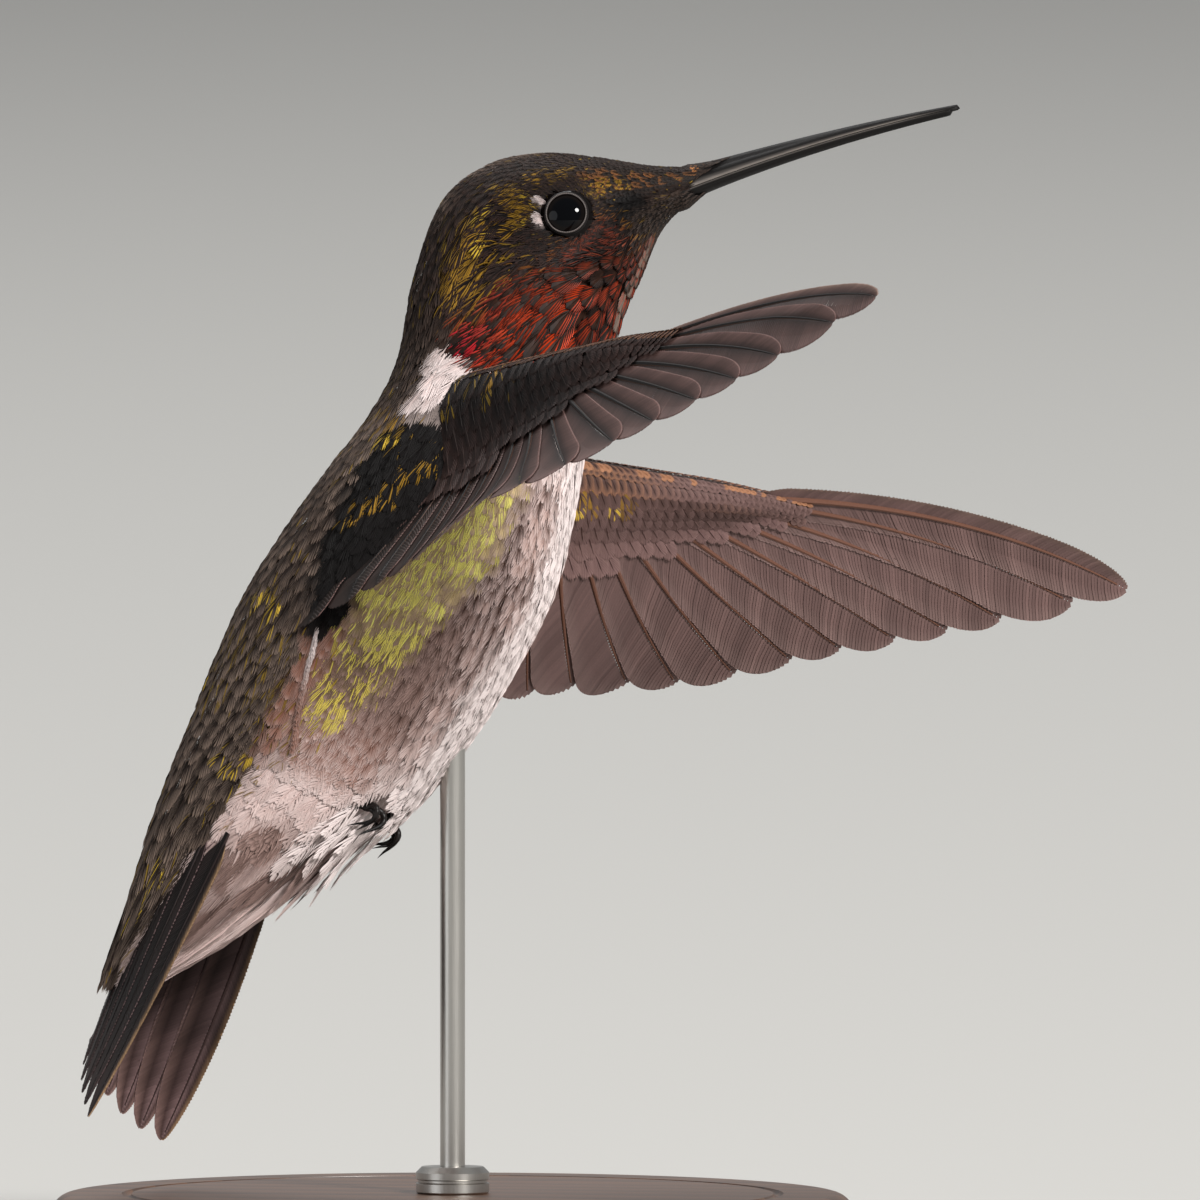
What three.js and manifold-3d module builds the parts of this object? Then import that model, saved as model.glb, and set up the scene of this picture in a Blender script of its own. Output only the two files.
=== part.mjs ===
// A life-size male ruby-throated hummingbird, hovering, held over a round wooden base by one thin rod.
// Millimetres, +Z up. The origin is the centre of the base's underside, and the bird faces +X.
// The bird is modelled level in a frame of its own, whose origin lies midway between the shoulders, with +X
// forward, +Y to its left and +Z up. The whole bird then banks to its left.
import * as THREE from "three";
import { mergeVertices } from "three/addons/utils/BufferGeometryUtils.js";
import Module from "manifold-3d";

const wasm = await Module();
wasm.setup();

// ---------------------------------------------------------------- driving dimensions
const GAP = 0.3; // clear space between neighbouring pieces
const SLIVER = 0.01; // faces thinner than this, left by a cut, are taken out
const BANK = THREE.MathUtils.degToRad(17); // roll to the bird's left
const SHOULDER_HEIGHT = 49.6; // of the mid-shoulder point over the table
const BELLY_ROD_AT = new THREE.Vector3(1.3, 0.8, -19.4); // where the rod enters, in the bird's frame
const ROD_RADIUS = 0.75;
const ROD_DEPTH = 4.0; // of the blind hole in the belly
const BASE_RADIUS = 24;
const BASE_HEIGHT = 5;
const BASE_EDGE = 1.2; // radius of the rounded upper rim
const BASE_BEVEL = 0.5; // of the lower rim
const COLLAR_RADIUS = 2.2;
const COLLAR_HEIGHT = 1.6;
const SEAT = 0.05; // clear height between the base, the collar and the rod

// Sections of the body from the bill's root to the tips of the tail coverts. Each is cut by the plane through
// a point on the back and a point on the front, both in the plane of symmetry, and has a half-width.
const BODY = [
  { at: "bill root", back: [14.5, 17.3], front: [14.3, 15.6], half: 0.95 },
  { at: "lores", back: [11.4, 17.3], front: [12.7, 14.4], half: 1.9 },
  { at: "brow", back: [8.0, 17.7], front: [11.7, 13.0], half: 3.4 },
  { at: "eye", back: [4.6, 17.9], front: [10.8, 10.4], half: 4.7 },
  { at: "crown", back: [1.3, 17.1], front: [10.1, 8.6], half: 5.3 },
  { at: "nape", back: [-1.4, 14.7], front: [9.7, 7.0], half: 5.5 },
  { at: "cheek", back: [-2.8, 9.8], front: [9.3, 5.5], half: 5.6 },
  { at: "neck", back: [-3.4, 4.8], front: [8.8, 3.0], half: 6.0 },
  { at: "shoulder", back: [-5.0, 0.9], front: [8.2, 0.4], half: 6.9 },
  { at: "breast", back: [-7.6, -2.9], front: [7.8, -3.6], half: 7.7 },
  { at: "keel", back: [-9.8, -6.4], front: [7.0, -8.3], half: 8.0 },
  { at: "flank", back: [-11.8, -10.0], front: [5.3, -12.6], half: 7.8 },
  { at: "belly", back: [-13.4, -14.0], front: [2.5, -17.9], half: 7.0 },
  { at: "vent", back: [-14.6, -17.6], front: [-1.4, -23.1], half: 5.8 },
  { at: "rump", back: [-15.8, -21.0], front: [-5.1, -25.8], half: 4.8 },
  { at: "coverts", back: [-16.9, -24.9], front: [-8.0, -27.9], half: 3.9 },
  { at: "covert tips", back: [-17.8, -28.5], front: [-11.9, -30.9], half: 2.8 },
  { at: "end", back: [-18.8, -32.3], front: [-16.2, -33.6], half: 1.3 },
];
const NECK_FROM = 6.4; // places of the cuts, counted in sections of BODY
const NECK_TO = 8.0;
const TRUNK_TO = 14.0;
const CUT = 0.045; // half of a cut between two pieces of the body, in sections
const BACK_BREADTH = 0.07; // how much wider a section is towards the back

// Bill: straight, faintly drooping, from the feathers of the forehead to the tip.
const BILL_ROOT = new THREE.Vector3(14.75, 0, 16.6);
const BILL_TIP = new THREE.Vector3(29.9, 0, 21.1);
const BILL_DROOP = 0.45; // rise of the middle over the straight line
const BILL_DEPTH = [2.0, 0.6]; // at the root and at the tip
const BILL_WIDTH = [2.0, 0.6];
const MANDIBLE_GAP = 0.12; // between the closed upper and lower halves

// Eyes: balls, of which the feathers leave one round cap free.
const EYE_CENTRE = new THREE.Vector3(7.1, 3.4, 13.15); // of the left eye
const EYE_RADIUS = 1.95;

// Wings, each in a slightly twisted plane of its own: s runs out along the span from the shoulder, and c back
// across the chord. The directions are given for a left wing; the right one is made as its mirror image, and
// is a little further into its stroke.
const POSES = {
  left: { shoulder: [0, 4.5, 0], span: [33.8, 31.3, 1.2], tipChord: [-0.434, 0.481, -0.759] },
  right: { shoulder: [1.5, 4.5, 1.5], span: [32.9, 32.6, -1.5], tipChord: [-0.46, 0.44, -0.771] },
};
const ROOT_CHORD = new THREE.Vector3(-0.33, 0.33, -0.88);
const TWIST_SPANS = [4, 18]; // between which the chord turns from the root's to the tip's
const CAMBER = 0.8;
const CAMBER_CHORD = 14;
const BLADE = 0.5; // thickness of the sheets of flight feathers
const SECONDARIES = 6;
const TIP_SPANS = [-2.2, 1.2, 3.7, 6.2, 8.9, 12.1, 16.1, 19.3, 22.7, 25.9, 28.8, 32.1, 35.3, 38.6, 43.0, 46.4];
const TRAILING_EDGE = { from: -4, step: 8, chords: [17.2, 14.8, 12.8, 11.5, 7.7, 4.7, 1.5, -1.5] };
const ROOT_SPANS = [1.0, 18.6]; // of the innermost secondary's root and the outermost primary's
const ROOT_CHORDS = [3.6, -0.9];
const SHAFT_BOW = [0.1, -0.06]; // sideways bow of a shaft, as a share of its length, inner to outer
const FEATHER_NOTCH = 0.045; // depth of the notch between two feather tips, as a share of the length
const LEADING_VANE = 1.1; // width of the outermost primary before its shaft
const ARM_SPANS = [-1.5, 20.5];
const ARM_CHORD = [2.0, -0.9]; // middle of the arm with its coverts
const ARM_HALF_CHORD = [3.6, 0.95];
const ARM_HALF_DEPTH = [1.7, 0.5];

// Tail: a roof of two halves of five feathers each, forked, its ridge along the back.
const TAIL_FEATHERS = 5;
const TAIL_RIDGE_ROOT = new THREE.Vector3(-13.2, 0.1, -18.0);
const TAIL_RIDGE_TIP = new THREE.Vector3(-20.1, 0.3, -37.1);
const TAIL_EAVE_ROOT = new THREE.Vector3(4.9, 3.7, -2.2); // of the outer edge, from the ridge
const TAIL_EAVE_TIP = new THREE.Vector3(2.9, 8.0, -5.2);
const TAIL_FORK_SHAPE = 0.65; // how quickly the feathers lengthen outwards
const TAIL_BULGE = 0.7; // outward bow of the outer edge
const TAIL_SWING = THREE.MathUtils.degToRad(5); // of the whole tail, to the bird's left
const TAIL_TURN = 0.8; // how much longer the outermost feather shows on the right, and shorter on the left
const TAIL_NOTCH = 0.13; // as a share of the length

// Feet: tucked into the belly, toes clenched.
const ANKLE = new THREE.Vector3(-2.8, 2.1, -20.2); // of the left foot
const FOOT = new THREE.Vector3(-2.9, 2.1, -22.8);
const FOOT_ROOM = new THREE.Vector3(2.2, 1.6, 1.8); // half sizes of the hollow in the belly for each foot
const TARSUS_RADIUS = 0.38;
const TOE_RADIUS = 0.27;
const TOE_LENGTH = 2.0;
const TOE_TURNS = [-28, 0, 28, 180]; // three toes forward and one back, in degrees

// ---------------------------------------------------------------- geometry helpers

/** The value of a smooth curve through evenly numbered values, at place t. */
function smooth(values, t) {
  const last = values.length - 1;
  const i = Math.min(Math.floor(t), last - 1);
  const u = t - i;
  const value = (k) => values[THREE.MathUtils.clamp(k, 0, last)];
  const [a, b, c, d] = [value(i - 1), value(i), value(i + 1), value(i + 2)];
  return 0.5 * (2 * b + (c - a) * u + (2 * a - 5 * b + 4 * c - d) * u * u + (3 * b - a - 3 * c + d) * u ** 3);
}

const mix = (pair, share) => THREE.MathUtils.lerp(pair[0], pair[1], share);
const steps = (count, from = 0, to = 1) => Array.from({ length: count + 1 }, (_, i) => mix([from, to], i / count));
const ring = (sides) => steps(sides, 0, 2 * Math.PI).slice(0, sides);

/** A closed mesh through rings of equal length, with a fan over each end. Its faces point outwards. */
function loft(rings) {
  const around = rings[0].length;
  const middle = (ring) => ring.reduce((sum, p) => sum.add(p), new THREE.Vector3()).divideScalar(around);
  const points = [...rings.flat(), middle(rings[0]), middle(rings.at(-1))];
  const faces = [];
  const at = (i, j) => i * around + (j % around);
  for (let j = 0; j < around; j++) {
    for (let i = 0; i < rings.length - 1; i++) {
      faces.push([at(i, j), at(i + 1, j), at(i + 1, j + 1)], [at(i, j), at(i + 1, j + 1), at(i, j + 1)]);
    }
    faces.push([points.length - 2, at(0, j), at(0, j + 1)]);
    faces.push([points.length - 1, at(rings.length - 1, j + 1), at(rings.length - 1, j)]);
  }
  const volume = faces.reduce((sum, [a, b, c]) => sum + points[a].dot(points[b].clone().cross(points[c])), 0);
  return new THREE.BufferGeometry()
    .setFromPoints(points)
    .setIndex((volume < 0 ? faces.map((f) => f.reverse()) : faces).flat());
}

/** A sheet of constant thickness over a grid of points, given with their normals. */
function sheet(grid, thickness) {
  const rings = grid.map((row) => [
    ...row.map(({ point, normal }) => point.clone().addScaledVector(normal, thickness / 2)),
    ...row.map(({ point, normal }) => point.clone().addScaledVector(normal, -thickness / 2)).reverse(),
  ]);
  return loft(rings);
}

/** A round tube of changing radius through points. */
function tube(points, radii, sides) {
  const curve = new THREE.CatmullRomCurve3(points);
  const count = radii.length - 1;
  const frames = curve.computeFrenetFrames(count);
  return loft(
    radii.map((radius, i) =>
      ring(sides).map((angle) =>
        curve
          .getPointAt(i / count)
          .addScaledVector(frames.normals[i], radius * Math.cos(angle))
          .addScaledVector(frames.binormals[i], radius * Math.sin(angle)),
      ),
    ),
  );
}

function solidOf(geometry) {
  const plain = geometry.clone();
  plain.deleteAttribute("normal");
  plain.deleteAttribute("uv");
  const merged = mergeVertices(plain, 1e-4);
  return new wasm.Manifold(
    new wasm.Mesh({
      numProp: 3,
      vertProperties: merged.attributes.position.array,
      triVerts: new Uint32Array(merged.index.array),
    }),
  );
}

/** The largest body of a solid, as a geometry, without the slivers that cuts leave. */
function geometryOf(solid) {
  const largest = solid.simplify(SLIVER).decompose().reduce((a, b) => (a.volume() > b.volume() ? a : b));
  const { numProp, vertProperties, triVerts } = largest.getMesh();
  const points = [];
  for (let i = 0; i < vertProperties.length; i += numProp) {
    points.push(new THREE.Vector3(...vertProperties.subarray(i, i + 3)));
  }
  return new THREE.BufferGeometry().setFromPoints(points).setIndex(Array.from(triVerts));
}

const cut = (geometry, ...tools) =>
  geometryOf(tools.reduce((solid, tool) => solid.subtract(solidOf(tool)), solidOf(geometry)));
const join = (...geometries) =>
  geometryOf(geometries.map(solidOf).reduce((a, b) => a.add(b)));

/** The right-hand twin of a left-hand piece. */
function mirrored(geometry) {
  const twin = geometry.clone().scale(1, -1, 1);
  const index = Array.from(twin.index.array);
  for (let i = 0; i < index.length; i += 3) [index[i], index[i + 1]] = [index[i + 1], index[i]];
  return twin.setIndex(index);
}

// ---------------------------------------------------------------- body

/** A ring of the body at place t of BODY, pushed outwards by grow. */
function bodyRing(t, sides, grow = 0) {
  const value = (pick) => smooth(BODY.map(pick), t);
  const back = new THREE.Vector3(value((s) => s.back[0]), 0, value((s) => s.back[1]));
  const front = new THREE.Vector3(value((s) => s.front[0]), 0, value((s) => s.front[1]));
  const centre = back.clone().add(front).divideScalar(2);
  const up = back.clone().sub(front).divideScalar(2);
  const upward = up.clone().normalize();
  return ring(sides).map((angle) => {
    const side = Math.sin(angle) * (1 + BACK_BREADTH * Math.cos(angle));
    return centre
      .clone()
      .addScaledVector(up, Math.cos(angle))
      .addScaledVector(upward, grow * Math.cos(angle))
      .add(new THREE.Vector3(0, side * (value((s) => s.half) + grow), 0));
  });
}

const bodyPiece = (from, to, rings, sides, grow) =>
  loft(steps(rings, from, to).map((t) => bodyRing(t, sides, grow)));

const wholeBody = bodyPiece(0, BODY.length - 1, 30, 20, GAP);

function billHalf(sign) {
  const middle = BILL_ROOT.clone().lerp(BILL_TIP, 0.5).add(new THREE.Vector3(0, 0, BILL_DROOP));
  const curve = new THREE.QuadraticBezierCurve3(BILL_ROOT, middle, BILL_TIP);
  const upward = new THREE.Vector3(0, 0, 1);
  const reach = sign > 0 ? 1 : 0.97; // the upper half closes over the lower one's tip
  return loft(
    steps(11, 0, reach).map((share) => {
      const point = curve.getPoint(share);
      const thin = Math.sqrt(share);
      const depth = mix(BILL_DEPTH, thin) / 2;
      const width = mix(BILL_WIDTH, thin) / 2;
      return steps(6, 0, Math.PI).map((angle) =>
        point
          .clone()
          .addScaledVector(upward, sign * (MANDIBLE_GAP / 2 + (depth - MANDIBLE_GAP / 2) * Math.sin(angle)))
          .add(new THREE.Vector3(0, width * Math.cos(angle), 0)),
      );
    }),
  );
}

function eyeBall(grow = 0) {
  return new THREE.SphereGeometry(EYE_RADIUS + grow, 16, 10)
    .rotateX(Math.PI / 2)
    .translate(EYE_CENTRE.x, EYE_CENTRE.y, EYE_CENTRE.z);
}

// ---------------------------------------------------------------- wings

/** The pieces of one wing in its pose. */
function wing(pose) {
  const shoulder = new THREE.Vector3(...pose.shoulder);
  const span = new THREE.Vector3(...pose.span).normalize();
  const tipChord = new THREE.Vector3(...pose.tipChord);

  /** A point of the middle surface, with the surface's directions there. */
  function surface(s, c) {
    const chord = ROOT_CHORD.clone().lerp(tipChord, THREE.MathUtils.smoothstep(s, ...TWIST_SPANS));
    chord.addScaledVector(span, -chord.dot(span)).normalize();
    const normal = chord.clone().cross(span);
    const rise = CAMBER * Math.sin((Math.PI * THREE.MathUtils.clamp(c, 0, CAMBER_CHORD)) / CAMBER_CHORD);
    const point = shoulder.clone().addScaledVector(span, s).addScaledVector(chord, c).addScaledVector(normal, rise);
    return { point, normal, chord };
  }

  /** The sheet of the flight feathers from place a0 to place a1, with a notch between each two tips. */
  function feathers(a0, a1, vane = 0) {
    const grid = steps(Math.round((a1 - a0) * 4), a0, a1).map((a) =>
      steps(5, 0.1, 1).map((v) => {
        const p = shaftPoint(a, v * (1 - FEATHER_NOTCH * Math.abs(Math.sin(Math.PI * a))));
        if (a === a1) p.y -= vane * (0.4 + 0.6 * v) * Math.sqrt(1 - v ** 4);
        return surface(p.x, p.y);
      }),
    );
    return sheet(grid, BLADE);
  }

  /** The bones of the arm and hand with the coverts around them, a flattened tapering rod. */
  function arm(grow = 0) {
    return loft(
      steps(8).map((share) => {
        const { point, normal, chord } = surface(mix(ARM_SPANS, share), 0);
        return ring(12).map((angle) =>
          point
            .clone()
            .addScaledVector(chord, mix(ARM_CHORD, share) + (mix(ARM_HALF_CHORD, share) + grow) * Math.cos(angle))
            .addScaledVector(normal, (mix(ARM_HALF_DEPTH, share) + grow) * Math.sin(angle)),
        );
      }),
    );
  }

  const split = SECONDARIES - 0.5;
  const half = 0.1; // of the cut between the two groups of feathers, in feathers
  return {
    arm: cut(arm(), wholeBody),
    secondaries: cut(feathers(-0.4, split - half), arm(GAP), wholeBody),
    primaries: cut(feathers(split + half, TIP_SPANS.length - 1, LEADING_VANE), arm(GAP), wholeBody),
  };
}

/** The point, as span and chord, at share v along the shaft at place a, counted in feathers outwards. */
function shaftPoint(a, v) {
  const share = a / (TIP_SPANS.length - 1);
  const root = new THREE.Vector2(mix(ROOT_SPANS, share), mix(ROOT_CHORDS, share));
  const tipSpan = smooth(TIP_SPANS, a);
  const tipChord = smooth(TRAILING_EDGE.chords, (tipSpan - TRAILING_EDGE.from) / TRAILING_EDGE.step);
  const along = new THREE.Vector2(tipSpan, tipChord).sub(root);
  const bow = mix(SHAFT_BOW, share) * 4 * v * (1 - v);
  return root.addScaledVector(along, v).add(new THREE.Vector2(-along.y, along.x).multiplyScalar(bow));
}

// ---------------------------------------------------------------- tail and feet

const tailAxis = TAIL_RIDGE_TIP.clone().sub(TAIL_RIDGE_ROOT).cross(new THREE.Vector3(0, 1, 0)).normalize();

/** A point of one half of the tail: share runs from the ridge to the outer edge, v from root to tip. */
function tailPoint(side, share, v) {
  const root = TAIL_RIDGE_ROOT.clone().add(
    new THREE.Vector3(share ** 1.6, Math.sin((Math.PI / 2) * share), share ** 1.6).multiply(TAIL_EAVE_ROOT),
  );
  const tip = TAIL_RIDGE_TIP.clone().add(
    new THREE.Vector3(share ** 1.6, share, share ** TAIL_FORK_SHAPE).multiply(TAIL_EAVE_TIP),
  );
  tip.addScaledVector(tip.clone().sub(root).normalize(), -side * TAIL_TURN * share ** 3);
  const bulge = TAIL_BULGE * share * share * 4 * v * (1 - v);
  const point = root.lerp(tip, v).add(new THREE.Vector3(0.6 * bulge, bulge, 0));
  point.y = side * (point.y + GAP / 2);
  return point.sub(TAIL_RIDGE_ROOT).applyAxisAngle(tailAxis, TAIL_SWING).add(TAIL_RIDGE_ROOT);
}

/** One half of the tail, with one notch between each two feather tips. */
function tailHalf(side) {
  const grid = steps(TAIL_FEATHERS * 4).map((share) =>
    steps(5, 0.3, 1).map((v) => {
      const notch = TAIL_NOTCH * Math.abs(Math.cos(Math.PI * share * TAIL_FEATHERS)) ** 1.5;
      const at = v * (1 - notch * v ** 4);
      const before = tailPoint(side, Math.max(share - 0.02, 0), at);
      const after = tailPoint(side, Math.min(share + 0.02, 1), at);
      const point = tailPoint(side, share, at);
      const along = tailPoint(side, share, at + 0.01).sub(point);
      return { point, normal: along.cross(after.sub(before)).normalize() };
    }),
  );
  return sheet(grid, BLADE);
}

/** The left leg below the feathers: the tarsus with four clenched toes and their claws, all one solid. */
function leg() {
  const tarsus = tube([ANKLE, ANKLE.clone().lerp(FOOT, 0.5), FOOT], [1, 1.15].map((k) => k * TARSUS_RADIUS), 7);
  const toes = TOE_TURNS.map((turn) => {
    const heading = new THREE.Vector3(0.55, 0, 0.1).applyAxisAngle(
      new THREE.Vector3(0, 0, 1),
      THREE.MathUtils.degToRad(turn),
    );
    const point = (out, drop) => FOOT.clone().addScaledVector(heading, out * TOE_LENGTH).setZ(FOOT.z + drop);
    const path = [point(0, 0), point(0.5, 0.1), point(0.95, -0.3), point(1.0, -0.95), point(0.6, -1.35)];
    return tube(path, [1.2, 1, 0.95, 0.8, 0.35].map((k) => k * TOE_RADIUS), 5);
  });
  return join(tarsus, ...toes);
}

// ---------------------------------------------------------------- stand

function baseDisc() {
  const corner = new THREE.Vector2(BASE_RADIUS - BASE_EDGE, BASE_HEIGHT - BASE_EDGE);
  const rim = steps(4, 0, Math.PI / 2).map((angle) =>
    new THREE.Vector2(Math.cos(angle), Math.sin(angle)).multiplyScalar(BASE_EDGE).add(corner),
  );
  const bevel = [new THREE.Vector2(BASE_RADIUS - BASE_BEVEL, 0), new THREE.Vector2(BASE_RADIUS, BASE_BEVEL)];
  const profile = [new THREE.Vector2(0, 0), ...bevel, ...rim, new THREE.Vector2(0, BASE_HEIGHT)];
  return new THREE.LatheGeometry(profile, 32).rotateX(Math.PI / 2);
}

function cylinderUp(radius, from, to, sides) {
  return new THREE.CylinderGeometry(radius, radius, to - from, sides)
    .rotateX(Math.PI / 2)
    .translate(0, 0, (from + to) / 2);
}

// ---------------------------------------------------------------- the model

const feather = (color, roughness = 0.8) => new THREE.MeshStandardMaterial({ color, roughness, metalness: 0 });
const green = feather(0x4b4a1c, 0.6);
const ruby = feather(0x7a1a12, 0.5);
const mottled = feather(0x8d7a74);
const dusky = feather(0x4a3f42);
const horn = feather(0x1d1b1c, 0.35);
const glossyBlack = feather(0x08080a, 0.08);
const wood = feather(0x5b3a22, 0.5);
const metal = new THREE.MeshStandardMaterial({ color: 0xb9b6ae, roughness: 0.3, metalness: 1 });

const bird = new THREE.Group();
bird.rotation.x = -BANK;
const entry = BELLY_ROD_AT.clone().applyEuler(bird.rotation);
bird.position.set(-entry.x, -entry.y, SHOULDER_HEIGHT);
bird.updateMatrixWorld(true);
const beneathEntry = SHOULDER_HEIGHT + entry.z;

function add(parent, name, geometry, material) {
  const mesh = new THREE.Mesh(geometry, material);
  mesh.name = name;
  parent.add(mesh);
}

/** The blind hole for the rod, upright in the world, in the bird's frame. */
const rodHole = cylinderUp(ROD_RADIUS + GAP, beneathEntry - BASE_HEIGHT, beneathEntry + ROD_DEPTH, 12).applyMatrix4(
  bird.matrixWorld.clone().invert(),
);

/** The hollow in the belly that takes the left foot and its shank. */
function footRoom() {
  const shaft = tube([ANKLE.clone().setZ(ANKLE.z + 2 * GAP), FOOT], [1, 1].map((k) => k * (TARSUS_RADIUS + GAP)), 8);
  const hollow = new THREE.SphereGeometry(1, 12, 8)
    .scale(FOOT_ROOM.x, FOOT_ROOM.y, FOOT_ROOM.z)
    .translate(FOOT.x + 0.4, FOOT.y, FOOT.z - 0.5);
  return join(shaft, hollow);
}

const sockets = [eyeBall(GAP), mirrored(eyeBall(GAP))];
const bellyHollows = [rodHole, footRoom(), mirrored(footRoom())];
const leftLeg = leg();

add(bird, "head", cut(bodyPiece(0, NECK_FROM - CUT, 14, 20), ...sockets), ruby);
add(bird, "neck", bodyPiece(NECK_FROM + CUT, NECK_TO - CUT, 3, 20), mottled);
add(bird, "bill_upper", billHalf(1), horn);
add(bird, "bill_lower", billHalf(-1), horn);
add(bird, "eye_left", eyeBall(), glossyBlack);
add(bird, "eye_right", mirrored(eyeBall()), glossyBlack);

add(bird, "trunk", cut(bodyPiece(NECK_TO + CUT, TRUNK_TO - CUT, 12, 20), ...bellyHollows), green);
add(bird, "tail_coverts", bodyPiece(TRUNK_TO + CUT, BODY.length - 1, 8, 20), mottled);
add(bird, "tail_left", cut(tailHalf(1), wholeBody), dusky);
add(bird, "tail_right", cut(tailHalf(-1), wholeBody), dusky);
add(bird, "leg_left", leftLeg, horn);
add(bird, "leg_right", mirrored(leftLeg), horn);

for (const [side, pose] of Object.entries(POSES)) {
  for (const [piece, geometry] of Object.entries(wing(pose))) {
    const placed = side === "left" ? geometry : mirrored(geometry);
    add(bird, `wing_${side}_${piece}`, placed, piece === "arm" ? green : dusky);
  }
}

const stand = new THREE.Group();
add(stand, "stand_base", baseDisc(), wood);
const collarTop = BASE_HEIGHT + COLLAR_HEIGHT;
const rodTop = beneathEntry + ROD_DEPTH - GAP;
add(stand, "stand_collar", cylinderUp(COLLAR_RADIUS, BASE_HEIGHT + SEAT, collarTop, 24), metal);
add(stand, "stand_rod", cylinderUp(ROD_RADIUS, collarTop + SEAT, rodTop, 12), metal);

const model = new THREE.Group();
model.add(bird, stand);
export default model;
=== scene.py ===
"""A life-size male ruby-throated hummingbird, hovering over a small turned base.

The bird is worked out in a frame of its own, in millimetres: its origin lies midway between the shoulders, +X
is forward, +Y its left and +Z up. The perch then banks it and sets it over the base, in metres.
"""
import logging
import math
from collections.abc import Callable
from dataclasses import dataclass, field
from enum import Enum

import bpy
import numpy as np
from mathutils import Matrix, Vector

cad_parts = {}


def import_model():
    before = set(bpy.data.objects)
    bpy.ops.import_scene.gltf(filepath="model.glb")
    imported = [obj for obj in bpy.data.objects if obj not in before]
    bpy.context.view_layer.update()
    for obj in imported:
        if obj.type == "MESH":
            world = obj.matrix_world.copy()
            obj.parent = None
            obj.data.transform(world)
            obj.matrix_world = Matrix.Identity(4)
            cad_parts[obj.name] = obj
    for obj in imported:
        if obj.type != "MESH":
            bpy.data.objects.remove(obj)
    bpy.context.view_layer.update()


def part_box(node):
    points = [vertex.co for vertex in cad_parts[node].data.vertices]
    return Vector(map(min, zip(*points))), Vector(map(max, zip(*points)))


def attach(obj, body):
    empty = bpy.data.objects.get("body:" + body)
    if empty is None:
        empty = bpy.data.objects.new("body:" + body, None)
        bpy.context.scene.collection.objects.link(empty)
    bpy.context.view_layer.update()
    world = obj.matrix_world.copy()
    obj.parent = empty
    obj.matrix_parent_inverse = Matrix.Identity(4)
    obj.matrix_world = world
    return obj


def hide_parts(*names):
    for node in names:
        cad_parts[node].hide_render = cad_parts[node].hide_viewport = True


log = logging.getLogger("hummingbird")
Array = np.ndarray
Triple = tuple[float, float, float]
Colour = Triple
Pair = tuple[float, float]
Random = np.random.Generator
Piece = bpy.types.Object
Material = bpy.types.Material
Socket = bpy.types.NodeSocket
Tree = bpy.types.NodeTree
MM = 0.001
TURN = 2 * np.pi

seeded = np.random.default_rng


# ---- small tools for shapes


def linear(colour: Colour) -> Array:
    """A display colour as linear light."""
    value = np.asarray(colour, float)
    return np.where(value <= 0.04045, value / 12.92, ((value + 0.055) / 1.055) ** 2.4)


def fade(low: float, high: float, value: Array) -> Array:
    """0 below low and 1 above high, with a smooth rise between."""
    share = np.clip((np.asarray(value, float) - low) / (high - low), 0, 1)
    return share * share * (3 - 2 * share)


def band(value: Array, low: float, high: float, soft: float) -> Array:
    """1 between low and high, falling to 0 over soft on each side."""
    return fade(low - soft, low + soft, value) * (1 - fade(high - soft, high + soft, value))


def bump(x: Array, y: Array) -> Array:
    """A round bump: 1 where both are 0, falling off like a bell."""
    return np.exp(-(x**2) - y**2)


def blend(first: Array, second: Array, share: Array) -> Array:
    """First where share is 0, second where it is 1."""
    return first + (second - first) * np.asarray(share)[..., None]


def unit(vectors: Array) -> Array:
    """Vectors at length 1."""
    return vectors / np.maximum(np.linalg.norm(vectors, axis=-1, keepdims=True), 1e-12)


def dot(first: Array, second: Array) -> Array:
    """Dot products along the last axis."""
    return (first * second).sum(-1)


def full_turn(count: int) -> Array:
    """Even angles of a full turn, without its end."""
    return np.linspace(0, TURN, count, endpoint=False)


def from_back(angle: Array) -> Array:
    """Angles about the body as degrees from the back, alike on both sides."""
    turn = np.mod(angle, TURN)
    return np.degrees(np.minimum(turn, TURN - turn))


def paired(first: Array, second: Array) -> Array:
    """Two values side by side, each spread over the other's shape."""
    return np.stack(np.broadcast_arrays(first, second), -1)


def beside(along: Array) -> Array:
    """Flat directions at right angles to others."""
    return paired(-along[..., 1], along[..., 0])


def halved(quads: Array) -> Array:
    """Quads as triangles."""
    return np.concatenate([quads[:, [0, 1, 2]], quads[:, [0, 2, 3]]])


def smooth_curve(values: Array, place: Array) -> Array:
    """A smooth curve through evenly numbered values, as a uniform Catmull-Rom spline.

    Args:
        values: one row, or one number, for each whole place.
        place: where to read the curve, from 0 to the last number.

    Returns:
        The curve's value at each place.
    """
    values = np.asarray(values, float)
    place = np.asarray(place, float)
    last = len(values) - 1
    start = np.clip(np.floor(place).astype(int), 0, last - 1)
    u = place - start
    if values.ndim > 1:
        u = u[..., None]
    a, b, c, d = (values[np.clip(start + k, 0, last)] for k in (-1, 0, 1, 2))
    return 0.5 * (2 * b + (c - a) * u + (2 * a - 5 * b + 4 * c - d) * u**2 + (3 * b - a - 3 * c + d) * u**3)


def turned(points: Array, axis: Array, angle: float) -> Array:
    """Points turned about an axis through the origin, by the formula of Rodrigues."""
    along = axis * dot(points, axis)[..., None]
    return points * math.cos(angle) + np.cross(axis, points) * math.sin(angle) + along * (1 - math.cos(angle))


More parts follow.
